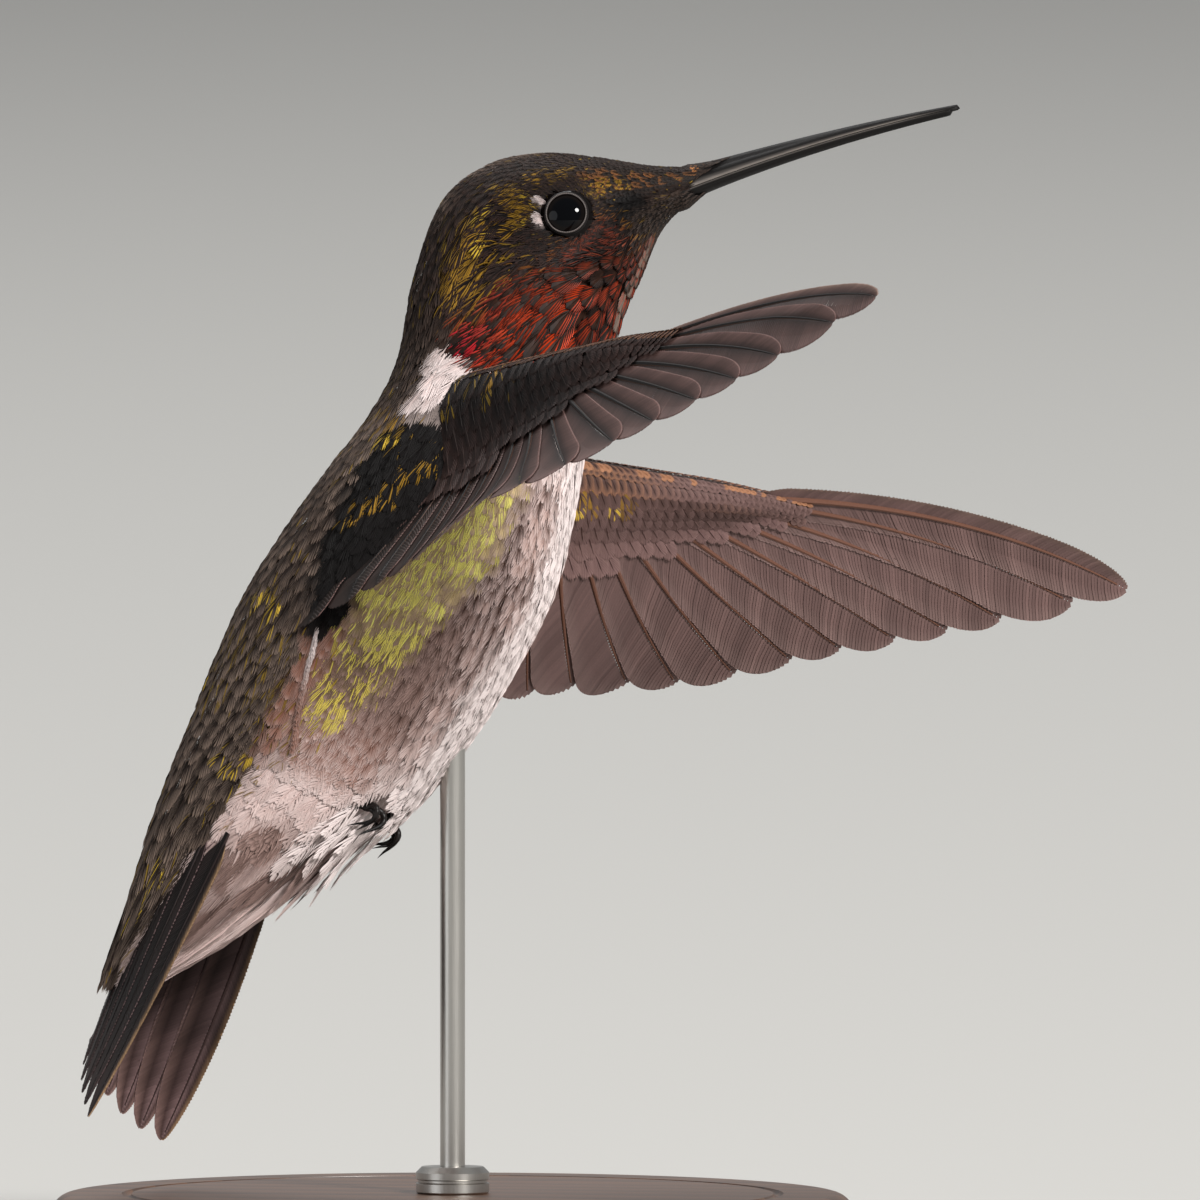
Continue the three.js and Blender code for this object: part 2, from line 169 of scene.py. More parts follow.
class Patches:
    """Smooth random patches: random values on a square lattice that repeats, read with smooth steps."""

    def __init__(self, seed: int, size: int = 64) -> None:
        """Draws the lattice's values from a seed."""
        self.values = seeded(seed).random((size, size))
        self.size = size

    def __call__(self, x: Array, y: Array) -> Array:
        """The patches' value, from 0 to 1, at places counted in lattice steps."""
        x, y = np.asarray(x, float), np.asarray(y, float)
        i, j = np.floor(x).astype(int), np.floor(y).astype(int)
        u, v = fade(0, 1, x - i), fade(0, 1, y - j)
        n = self.size
        low = self.values[i % n, j % n] * (1 - v) + self.values[i % n, (j + 1) % n] * v
        high = self.values[(i + 1) % n, j % n] * (1 - v) + self.values[(i + 1) % n, (j + 1) % n] * v
        return low * (1 - u) + high * u


@dataclass(frozen=True)
class Perch:
    """How the bird is set over its base."""

    bank: float = math.radians(17)  # roll to its left
    shoulder_height: float = 49.6
    rod_entry: Triple = (1.3, 0.8, -19.4)  # in the bird's frame

    def banked(self, points: Array) -> Array:
        """Points or directions of the bird's frame, rolled to its left."""
        return turned(np.asarray(points, float), np.array([1.0, 0, 0]), -self.bank)

    def place(self, points: Array) -> Array:
        """Points of the bird's frame, in metres, with the rod's entry over the centre of the base."""
        entry = self.banked(np.array(self.rod_entry))
        return (self.banked(points) + [-entry[0], -entry[1], self.shoulder_height]) * MM


PERCH = Perch()


def volume(points: Array, faces: Array) -> float:
    """Six times the volume inside closed triangles: the sum of each one's triple product."""
    a, b, c = (points[faces[:, k]] for k in range(3))
    return float(dot(a, np.cross(b, c)).sum())


def grid_faces(rows: int, columns: int, closed: bool = False) -> Array:
    """Quads between the points of a grid, as rows of four numbers.

    Args:
        rows: number of rows of points.
        columns: number of points in a row.
        closed: whether each row closes on itself.
    """
    i = np.arange(rows - 1)[:, None]
    j = np.arange(columns if closed else columns - 1)[None]
    k = (j + 1) % columns
    quads = [i * columns + j, i * columns + k, (i + 1) * columns + k, (i + 1) * columns + j]
    return np.stack(np.broadcast_arrays(*quads), -1).reshape(-1, 4)


def tube_mesh(rings: Array) -> tuple[Array, Array]:
    """Closes rings of points with a fan over each end.

    Args:
        rings: points as rings, round, xyz.

    Returns:
        The points, and triangles that face outwards.
    """
    count, around = rings.shape[:2]
    ends = np.stack([rings[0].mean(0), rings[-1].mean(0)])
    points = np.concatenate([rings.reshape(-1, 3), ends])
    quads = grid_faces(count, around, closed=True)
    j = np.arange(around)
    k = (j + 1) % around
    first, last = count * around, count * around + 1
    rim = (count - 1) * around
    fans = [(np.full(around, first), k, j), (np.full(around, last), rim + j, rim + k)]
    faces = np.concatenate([halved(quads), *(np.stack(fan, 1) for fan in fans)])
    middle = points.mean(0)
    return points, faces if volume(points - middle, faces) > 0 else faces[:, ::-1]


def sweep(path: Array, radii: Array, sides: int, up: Array) -> Array:
    """Rings of a round tube along a path.

    Each ring lies square to the path: its two directions are up without its part along the path, and their
    cross product.

    Args:
        path: points along the middle.
        radii: radius at each point.
        sides: points in a ring.
        up: a direction that the path never takes.

    Returns:
        Points as rings, round, xyz.
    """
    along = unit(np.gradient(path, axis=0))
    first = unit(up - along * dot(along, up)[:, None])
    second = np.cross(along, first)
    angle = full_turn(sides)
    spokes = first[:, None] * np.cos(angle)[None, :, None] + second[:, None] * np.sin(angle)[None, :, None]
    return path[:, None] + spokes * np.asarray(radii)[:, None, None]


def added(name: str, data: bpy.types.ID) -> Piece:
    """A new object in the scene."""
    obj = bpy.data.objects.new(name, data)
    bpy.context.scene.collection.objects.link(obj)
    return obj


@dataclass
class Shape:
    """A mesh while it is being made: points, triangles and what they carry."""

    points: Array
    faces: Array
    tint: Array  # colour of all the points, of each, or of each corner of each face
    uv: Array  # place in the baked picture, of each point or of each corner
    gloss: Array | float = 0.0  # how metallic the surface is, likewise

    def __post_init__(self) -> None:
        """Spreads a single colour and gloss over all the points."""
        if np.ndim(self.tint) == 1:
            self.tint = np.broadcast_to(self.tint, (len(self.points), 3))
        if np.ndim(self.gloss) == 0:
            self.gloss = np.full(len(self.tint), self.gloss)

    def corners(self, values: Array) -> Array:
        """Values of each corner of each face."""
        return values if len(values) == self.faces.size else values[self.faces.ravel()]

    @staticmethod
    def joined(shapes: list["Shape"]) -> "Shape":
        """Several shapes as one, with all they carry at their corners."""
        start = np.cumsum([0] + [len(s.points) for s in shapes])
        carried = [[s.corners(getattr(s, kind)) for s in shapes] for kind in ("tint", "uv", "gloss")]
        faces = [s.faces + n for s, n in zip(shapes, start)]
        return Shape(*map(np.concatenate, ([s.points for s in shapes], faces, *carried)))

    def outward(self) -> "Shape":
        """Turns all the faces round if they enclose less than nothing."""
        if volume(self.points - self.points.mean(0), self.faces) < 0:
            for kind in ("tint", "uv", "gloss"):
                carried = self.corners(getattr(self, kind))
                shape = carried.shape
                setattr(self, kind, carried.reshape(-1, 3, *shape[1:])[:, ::-1].reshape(shape))
            self.faces = self.faces[:, ::-1]
        return self

    def mesh(self, name: str, in_bird: bool = True, smooth: bool = False) -> Piece:
        """Puts the shape into a new object.

        Args:
            name: of the piece.
            in_bird: whether the points are in the bird's frame, in mm, and not in metres over the base.
            smooth: whether the faces are shaded smoothly.
        """
        points = PERCH.place(self.points) if in_bird else self.points
        faces = np.ascontiguousarray(self.faces)
        mesh = bpy.data.meshes.new(name)
        mesh.vertices.add(len(points))
        mesh.vertices.foreach_set("co", points.astype(np.float32).ravel())
        mesh.loops.add(faces.size)
        mesh.loops.foreach_set("vertex_index", faces.astype(np.int32).ravel())
        mesh.polygons.add(len(faces))
        mesh.polygons.foreach_set("loop_start", np.arange(0, faces.size, 3, dtype=np.int32))
        mesh.polygons.foreach_set("use_smooth", np.full(len(faces), smooth))
        tint, gloss, uv = self.corners(self.tint), self.corners(self.gloss), self.corners(self.uv)
        colour = np.concatenate([np.clip(tint, 0, 1), np.ones((len(tint), 1))], 1)
        colour, gloss, uv = (v.astype(np.float32).ravel() for v in (colour, gloss, uv))
        mesh.attributes.new("tint", "FLOAT_COLOR", "CORNER").data.foreach_set("color", colour)
        mesh.attributes.new("gloss", "FLOAT", "CORNER").data.foreach_set("value", gloss)
        mesh.uv_layers.new(name="OFBake").data.foreach_set("uv", uv)
        mesh.update(calc_edges=True)
        mesh.validate()
        return added(name, mesh)


class Form:
    """A smooth surface of two parameters that feathers lie on, as fine tables of points and directions."""

    def __init__(self, first: Array, second: Array, points: Array, closed: bool, outward: float) -> None:
        """Works out the tables of directions.

        Args:
            first: values of the first parameter, evenly spaced, along which the feathers mostly lie.
            second: values of the second parameter, evenly spaced.
            points: points as first, second, xyz.
            closed: whether the second parameter closes on itself.
            outward: 1 or -1, the sense of second x first that points outwards.
        """
        self.first, self.second, self.points, self.closed = first, second, points, closed
        self.steps = (first[1] - first[0], second[1] - second[0])
        self.along = np.gradient(points, self.steps[0], axis=0)
        if closed:
            self.across = (np.roll(points, -1, 1) - np.roll(points, 1, 1)) / (2 * self.steps[1])
        else:
            self.across = np.gradient(points, self.steps[1], axis=1)
        self.normals = unit(np.cross(self.across, self.along)) * outward

    def read(self, table: Array, a: Array, b: Array) -> Array:
        """A table's value at any place, by straight lines between its entries and beyond its ends."""
        i = (np.asarray(a) - self.first[0]) / self.steps[0]
        j = (np.asarray(b) - self.second[0]) / self.steps[1]
        i0 = np.clip(np.floor(i).astype(int), 0, len(self.first) - 2)
        count = len(self.second)
        if self.closed:
            j0 = np.floor(j).astype(int)
            left, right = j0 % count, (j0 + 1) % count
        else:
            j0 = np.clip(np.floor(j).astype(int), 0, count - 2)
            left, right = j0, j0 + 1
        u, v = i - i0, j - j0
        if table.ndim > 2:
            u, v = u[..., None], v[..., None]
        low = table[i0, left] * (1 - v) + table[i0, right] * v
        high = table[i0 + 1, left] * (1 - v) + table[i0 + 1, right] * v
        return low * (1 - u) + high * u

    def lattice(self, pitch: Array, spread: Array | float, rng: Random) -> tuple[Array, Array]:
        """Staggered rows of roots over the whole surface.

        A row is where the length along the first parameter, counted in pitches, is a whole number. In each
        row the roots stand at even shares of its length, counted in pitches times spread, and every second
        row is shifted by half of a place.

        Args:
            pitch: distance from row to row, over the tables.
            spread: how much wider the places in a row are than the rows, over the tables or everywhere.
            rng: source of the small irregularities.

        Returns:
            Both parameters of each root.
        """
        speed = np.linalg.norm(self.along, axis=-1) / pitch
        counted = np.cumsum((speed[1:] + speed[:-1]) / 2, 0) * self.steps[0]
        counted = np.concatenate([0 * counted[:1], counted])
        levels = np.arange(0.35, counted.max(), 1.0)
        rows = np.stack([np.interp(levels, line, self.first, right=np.nan) for line in counted.T], 1)
        second = self.second
        if self.closed:
            rows = np.concatenate([rows, rows[:, :1]], 1)
            second = np.append(second, second[-1] + self.steps[1])
        firsts, seconds = [], []
        for number, row in enumerate(rows):
            filled = np.where(np.isnan(row), self.first[-1], row)
            points = self.read(self.points, filled, second)
            gauge = self.read(pitch * spread, filled, second)
            reach = np.linalg.norm(np.diff(points, axis=0), axis=1) * 2 / (gauge[1:] + gauge[:-1])
            reach = np.concatenate([[0], np.cumsum(reach)])
            count = max(int(round(reach[-1])), 3)
            places = (np.arange(count) + 0.5 * (number % 2) + rng.normal(0, 0.07, count)) * reach[-1] / count
            b = np.interp(places, reach, second)
            a = np.interp(b, second, filled)
            kept = ~np.isnan(np.interp(b, second, row))
            firsts.append((a + rng.normal(0, 0.06, count) * self.steps[0])[kept])
            seconds.append(b[kept])
        return np.concatenate(firsts), np.concatenate(seconds)


# ---- how one feather is made


def strip_faces(stations: int) -> Array:
    """Triangles of one closed strip: a point, stations of left, right and ridge, and a point."""
    faces = [(0, 1, 3), (0, 3, 2), (0, 2, 1)]
    for station in range(stations - 1):
        left, right, top = (3 * station + k for k in (1, 2, 3))
        faces += [(left, left + 3, top + 3), (left, top + 3, top), (top, top + 3, right + 3)]
        faces += [(top, right + 3, right), (right, right + 3, left + 3), (right, left + 3, left)]
    left, right, top = (3 * stations - 2 + k for k in (0, 1, 2))
    tip = 3 * stations + 1
    return np.array(faces + [(tip, top, left), (tip, right, top), (tip, left, right)])


def strip_points(path: Array, half: Array, ridge: Array, roll: Array) -> Array:
    """Points of closed strips along flat paths.

    At each station left and right lie half a width to the sides of the path, one lowered and the other raised
    by roll, and the ridge lies over the path.

    Args:
        path: x and y as ..., station with both ends, 2.
        half: half widths as ..., station.
        ridge: height of the ridge, likewise.
        roll: height of the right edge, likewise.

    Returns:
        x, y and height as ..., point, 3.
    """
    along = unit(path[..., 2:, :] - path[..., :-2, :])
    side = beside(along) * half[..., None]
    middle = path[..., 1:-1, :]
    left = np.concatenate([middle - side, -roll[..., None]], -1)
    right = np.concatenate([middle + side, roll[..., None]], -1)
    top = np.concatenate([middle, ridge[..., None]], -1)
    stations = np.stack([left, right, top], -2)
    stations = stations.reshape(*stations.shape[:-3], -1, 3)
    ends = np.concatenate([path, np.zeros_like(path[..., :1])], -1)
    return np.concatenate([ends[..., :1, :], stations, ends[..., -1:, :]], -2)


@dataclass(frozen=True)
class Cut:
    """The make of one kind of small feather, as shares of its length and half-width."""

    barbs: int = 9  # on each side
    widest: float = 0.45  # place along the feather where its barbs reach out most
    core: float = 0.42  # half-width of the closed middle
    cover: float = 1.15  # how much neighbouring barbs overlap
    ragged: float = 0.03  # unevenness of the barbs' lengths
    ridge: float = 0.5  # of a barb, as a share of its half-width
    roll: float = 0.35
    cup: float = 0.22  # how far the sides hang below the middle, as a share of the half-width
    fork: float = 0.6  # how far the tip's barbs part, below 1 for a blunt tip
    groove: float = 0.6  # painted shade: how much darker the edges of a barb are than its ridge
    fringe: float = 0.5  # how much of the rim's colour the end of a glinting barb takes
    roots: float = 0.84  # share of the shaft that bears barbs
    settle: float = 3.0  # power by which a feather sinks from its tip to its root
    uneven: float = 0.06  # unevenness of the lightness of feathers and barbs
    bleed: float = 0.3  # how much of a glint shows on the edges of its barb
    border: float = 0.2  # how far the rim reaches in on a glinting barb, as a share of the fringe
    hem: float = 0.6  # how far it reaches in on a plain barb

    def layout(self) -> tuple[Array, Array]:
        """The strips of one feather before it is sized: the middle, the shaft, and the barbs of both sides.

        A barb starts on the shaft and bends towards its end on the outline, a half ellipse from the widest
        place to the tip; its path is a quadratic curve.

        Returns:
            Paths as strip, station, xy, and the sense of each strip's side.
        """
        f = (np.arange(self.barbs) + 0.5) / self.barbs
        turn = f * np.pi / 2
        start = paired(0, 0.08 + self.roots * f)
        end = paired(np.cos(turn) ** self.fork, self.widest + (1 - self.widest) * np.sin(turn))
        bend = paired(0.68 * end[:, 0], start[:, 1] + 0.34 * (end[:, 1] - start[:, 1]))
        q = np.array([0, 0.42, 0.8, 1.0])[None, :, None]
        side = start[:, None] * (1 - q) ** 2 + bend[:, None] * 2 * q * (1 - q) + end[:, None] * q**2
        rods = paired(0, np.array([[0, 0.4, 0.8, 0.96], [0, 0.35, 0.7, 0.92]]))
        paths = np.concatenate([rods, side, side * [-1, 1]])
        return paths, np.concatenate([[0, 0], np.ones(self.barbs), -np.ones(self.barbs)])


@dataclass
class Dress:
    """The colours of feathers, one row for each: near the shaft, at the rim, and of the barbs that glint."""

    inner: Array
    rim: Array
    glint: Array
    share: Array  # of the barbs that glint
    gloss: Array  # of those barbs

    @staticmethod
    def plain(shape: tuple[int, ...], base: Colour, glint: Colour, share: float, gloss: float) -> "Dress":
        """The same colours for every feather."""
        base, glint = (np.broadcast_to(linear(colour), (*shape, 3)) for colour in (base, glint))
        return Dress(base, base, glint, np.full(shape, share), np.full(shape, gloss))

    def lay(self, colour: Colour, mask: Array, rim: Colour | None = None) -> None:
        """Lays one colour over the feathers of a mask, with a rim of its own."""
        self.inner = blend(self.inner, linear(colour), mask)
        self.rim = blend(self.rim, linear(rim or colour), mask)

    def shine(self, colour: Colour, share: Array, mask: Array, gloss: float = 0.5) -> None:
        """Gives the feathers of a mask a share of glinting barbs."""
        self.glint = blend(self.glint, linear(colour), mask)
        self.share = self.share * (1 - mask) + share * mask
        self.gloss = self.gloss * (1 - mask) + gloss * mask

    def dull(self, mask: Array) -> None:
        """Takes the glinting barbs from the feathers of a mask."""
        self.share = self.share * (1 - mask)

    def taken(self, chosen: Array) -> "Dress":
        """The same for some of the feathers."""
        return Dress(*(v[chosen] for v in (self.inner, self.rim, self.glint, self.share, self.gloss)))


@dataclass
class Feathers:
    """Small feathers rooted on one form, and all that sizes them."""

    form: Form
    a: Array
    b: Array
    lie: Array  # direction of each
    length: Array
    half: Array  # half-width
    depth: Array  # of the root under the surface
    lift: Array  # of the tip over it
    dress: Dress
    roots_uv: Array

    def __post_init__(self) -> None:
        """Spreads single sizes over all the feathers."""
        sizes = (self.length, self.half, self.depth, self.lift)
        self.length, self.half, self.depth, self.lift = (np.broadcast_to(v, self.a.shape) for v in sizes)

    def taken(self, chosen: Array) -> "Feathers":
        """Some of the feathers."""
        kept = [v[chosen] for v in (self.a, self.b, self.lie, self.length, self.half, self.depth, self.lift)]
        return Feathers(self.form, *kept, self.dress.taken(chosen), self.roots_uv[chosen])

    def grown(self, cut: Cut, rng: Random) -> Shape:
        """The feathers' shape.

        Each strip is worked out flat, in mm across and along its feather. A point's place on the form is the
        root's plus the flat distances over the form's speeds there, and it stands off the form by a height
        that rises steeply from the root under the surface, runs out level to the tip over it, and falls to
        the sides.

        Args:
            cut: how each feather is made.
            rng: source of the small irregularities.
        """
        count = len(self.a)
        paths, sides = cut.layout()
        strips = len(paths)
        long, wide, deep, high = (v[:, None, None] for v in (self.length, self.half, self.depth, self.lift))
        path = paths * paired(wide, long)
        uneven = 1 + rng.normal(0, cut.ragged, (count, strips, 1, 1))
        uneven[:, :2] = 1
        reach = path[:, :, -1:] - path[:, :, :1]
        path[:, :, 1:] += reach * (uneven - 1) * np.array([0.2, 0.6, 1.0])[None, None, :, None]
        path[:, 2:, 1:, 0] += rng.normal(0, cut.ragged * 0.5, (count, strips - 2, 1)) * wide
        along = unit(path[..., 2:, :] - path[..., :-2, :])
        cross = beside(along)
        n = cut.barbs
        half = np.empty((count, strips, 2))
        for chosen in (slice(2, 2 + n), slice(2 + n, 2 + 2 * n)):
            gap = np.gradient(path[:, chosen, 1:-1], axis=1)
            half[:, chosen] = np.abs(dot(gap, cross[:, chosen])) * 0.5 * cut.cover
        half[:, 0] = self.half[:, None] * cut.core * np.array([1.0, 0.8])
        half[:, 1] = self.half[:, None] * 0.05 * np.array([1.0, 0.6])
        ridge = half * cut.ridge
        ridge[:, 0] = self.half[:, None] * 0.02
        ridge[:, 1] = half[:, 1] * 1.6 + self.half[:, None] * 0.05
        roll = half * cut.roll * sides[None, :, None]
        local = strip_points(path, half, ridge, roll)
        x, y = local[..., 0], local[..., 1]
        share, aside = y / long, x / wide
        wobble = rng.normal(0, 0.03, (count, 1, 1))
        sunk = np.clip(1 - share, 0, None) ** cut.settle - wobble
        height = high * share**2 - deep * sunk - cut.cup * wide * aside**2 + local[..., 2]
        starts = np.arange(count * strips)[:, None, None] * local.shape[2]
        tints, glosses = self.tints(strips, sides, cut, rng)
        uv = self.roots_uv[:, None, None] + 0.003 * paired(aside * 0.5, share - 0.5)
        return Shape(self.stood(x, y, height).reshape(-1, 3), (strip_faces(2) + starts).reshape(-1, 3),
                     tints.reshape(-1, 3), uv.reshape(-1, 2), glosses.ravel())

    def moved(self, x: Array, y: Array) -> tuple[Array, Array]:
        """Both parameters of the places at flat distances from the roots, across and along the feathers."""
        along, across = (self.form.read(t, self.a, self.b) for t in (self.form.along, self.form.across))
        normal = self.form.read(self.form.normals, self.a, self.b)
        lie = unit(self.lie - normal * dot(self.lie, normal)[:, None])
        aside = np.cross(lie, normal)
        aa, ab, bb = dot(along, along), dot(along, across), dot(across, across)
        ground = aa * bb - ab * ab

        def speeds(direction: Array) -> tuple[Array, Array]:
            """The rates of both parameters along a direction."""
            p, q = dot(direction, along), dot(direction, across)
            return (p * bb - q * ab) / ground, (q * aa - p * ab) / ground

        expand = (slice(None), *(None,) * (np.ndim(y) - 1))
        (lie_a, lie_b), (side_a, side_b) = ([v[expand] for v in speeds(d)] for d in (lie, aside))
        return self.a[expand] + y * lie_a + x * side_a, self.b[expand] + y * lie_b + x * side_b

    def stood(self, x: Array, y: Array, height: Array) -> Array:
        """Points at flat distances from the roots and at a height over the form."""
        place = self.moved(x, y)
        normal = unit(self.form.read(self.form.normals, *place))
        return self.form.read(self.form.points, *place) + normal * height[..., None]

    def tints(self, strips: int, sides: Array, cut: Cut, rng: Random) -> tuple[Array, Array]:
        """Colours and gloss of all the points: inner at the shaft, glinting or plain along a barb's ridge
        with painted shade at its edges, and rim at its end. A narrow closed middle may glint too, but less
        brightly."""
        count = len(self.a)
        dress = self.dress
        lightness = 1 + rng.normal(0, cut.uneven, (count, 1, 1, 1))
        lightness = lightness + rng.normal(0, cut.uneven, (count, strips, 1, 1))
        barb = (np.abs(sides) > 0)[None]
        middle_strip = (np.arange(strips) == 0)[None] & (cut.core < 0.5)
        glinting = (rng.random((count, strips)) < dress.share[:, None]) & (barb | middle_strip)
        lit = glinting[..., None]
        colours = (dress.inner, dress.rim, dress.glint)
        inner, rim, glint = (np.broadcast_to(v[:, None], (count, strips, 3)) for v in colours)
        glint = glint * np.where(barb, 1.0, 0.6)[..., None]
        middle = np.where(lit, glint, blend(inner, rim, 0.3 * barb))
        far = np.where(lit, blend(glint, rim, cut.fringe * cut.border), blend(middle, rim, cut.hem * barb))
        end = np.where(lit, blend(glint, rim, cut.fringe), rim)
        # painted shade between barbs: their edges are darkened by the cut's groove
        shade = np.where(barb, 1 - cut.groove, 1.0)[..., None]
        edge = blend(inner, middle, cut.bleed * glinting) * shade
        far_edge = blend(inner, far, np.where(glinting, cut.bleed * 1.3, 0.35)) * shade
        stations = [edge, edge, edge, middle, far_edge, far_edge, far, end]
        glosses = (glinting * dress.gloss[:, None])[..., None] * [0.0, 0.4, 0.4, 1, 0.4, 0.4, 1, 0.5]
        return np.clip(np.stack(stations, 2) * lightness, 0, 1), glosses


# ---- the body's form


@dataclass
class Body:
    """The bird's body from the bill's root to the tips of the tail coverts, as a row of level sections.

    Each section is cut by the plane through a point on the back and a point on the front, both in the plane
    of symmetry, and has a half-width. The section number and the angle from the back, over the left side, are
    the two parameters of the surface.
    """

    sections: Array = field(default_factory=lambda: np.array([  # back x, z, front x, z, half-width
        (14.5, 17.3, 14.3, 15.6, 0.95),  # bill root
        (11.4, 17.3, 12.7, 14.4, 1.9),  # lores
        (8.0, 17.7, 11.7, 13.0, 3.4),  # brow
        (4.6, 17.9, 10.8, 10.4, 4.7),  # eye
        (1.3, 17.1, 10.1, 8.6, 5.3),  # crown
        (-1.4, 14.7, 9.7, 7.0, 5.5),  # nape
        (-2.8, 9.8, 9.3, 5.5, 5.6),  # cheek
        (-3.4, 4.8, 8.8, 3.0, 6.0),  # neck
        (-5.0, 0.9, 8.2, 0.4, 6.9),  # shoulder
        (-7.6, -2.9, 7.8, -3.6, 7.7),  # breast
        (-9.8, -6.4, 7.0, -8.3, 8.0),  # keel
        (-11.8, -10.0, 5.3, -12.6, 7.8),  # flank
        (-13.4, -14.0, 2.5, -17.9, 7.0),  # belly
        (-14.6, -17.6, -1.4, -23.1, 5.8),  # vent
        (-15.8, -21.0, -5.1, -25.8, 4.8),  # rump
        (-16.9, -24.9, -8.0, -27.9, 3.9),  # coverts
        (-17.8, -28.5, -11.9, -30.9, 2.8),  # covert tips
        (-18.8, -32.3, -16.2, -33.6, 1.3),  # end
    ]))
    back_breadth: float = 0.07  # how much wider a section is towards the back
    eye_centre: Triple = (7.1, 3.4, 13.15)  # of the left eye
    eye_gaze: Triple = (0.16, 0.98, -0.02)
    rows: int = 341
    columns: int = 240

    def __post_init__(self) -> None:
        """Makes the surface's tables."""
        t = np.linspace(0, len(self.sections) - 1, self.rows)
        angle = full_turn(self.columns)
        self.form = Form(t, angle, self.surface(t[:, None], angle[None]), True, 1.0)
        self.alpha = np.broadcast_to(from_back(angle), (self.rows, self.columns))
        self.t = np.broadcast_to(t[:, None], (self.rows, self.columns))

    def surface(self, t: Array, angle: Array) -> Array:
        """Points of the body: the section's middle, plus half its depth times the angle's cosine towards the
        back, and to the side its half-width times the sine, a little more towards the back."""
        row = smooth_curve(self.sections, t)
        back, front = row[..., [0, 1]], row[..., [2, 3]]
        plane = (back + front) / 2 + (back - front) / 2 * np.cos(angle)[..., None]
        side = np.sin(angle) * (1 + self.back_breadth * np.cos(angle)) * row[..., 4]
        return np.stack([plane[..., 0], side, plane[..., 1]], -1)

    def eye(self, points: Array) -> tuple[Array, Array]:
        """The distance of points from the axis of the eye on their side, and the direction away from it."""
        side = np.where(points[..., 1] < 0, -1.0, 1.0)[..., None] * [0, 1, 0] + [1, 0, 1]
        gaze = unit(np.array(self.eye_gaze)) * side
        away = points - np.array(self.eye_centre) * side
        away = away - gaze * dot(away, gaze)[..., None]
        return np.linalg.norm(away, axis=-1), unit(away)

    def coat_depth(self, t: Array, alpha: Array) -> Array:
        """How far the skin lies under the feathers' tips: least on the face, most on the belly and vent."""
        middle = np.interp(t, [0, 1, 3, 5, 7, 9, 12, 14, 17],
                           [0.12, 0.16, 0.28, 0.4, 0.55, 0.7, 0.8, 0.8, 0.5])
        return middle * (1 + 0.35 * fade(120, 170, alpha) * band(t, 9, 14.5, 1.5))

    @staticmethod
    def unwrap(t: Array, angle: Array) -> Array:
        """Where a place of the body lies in the skin's unwrap."""
        return paired(0.02 + 0.6 * angle / TURN, 0.03 + 0.94 * t / 17)


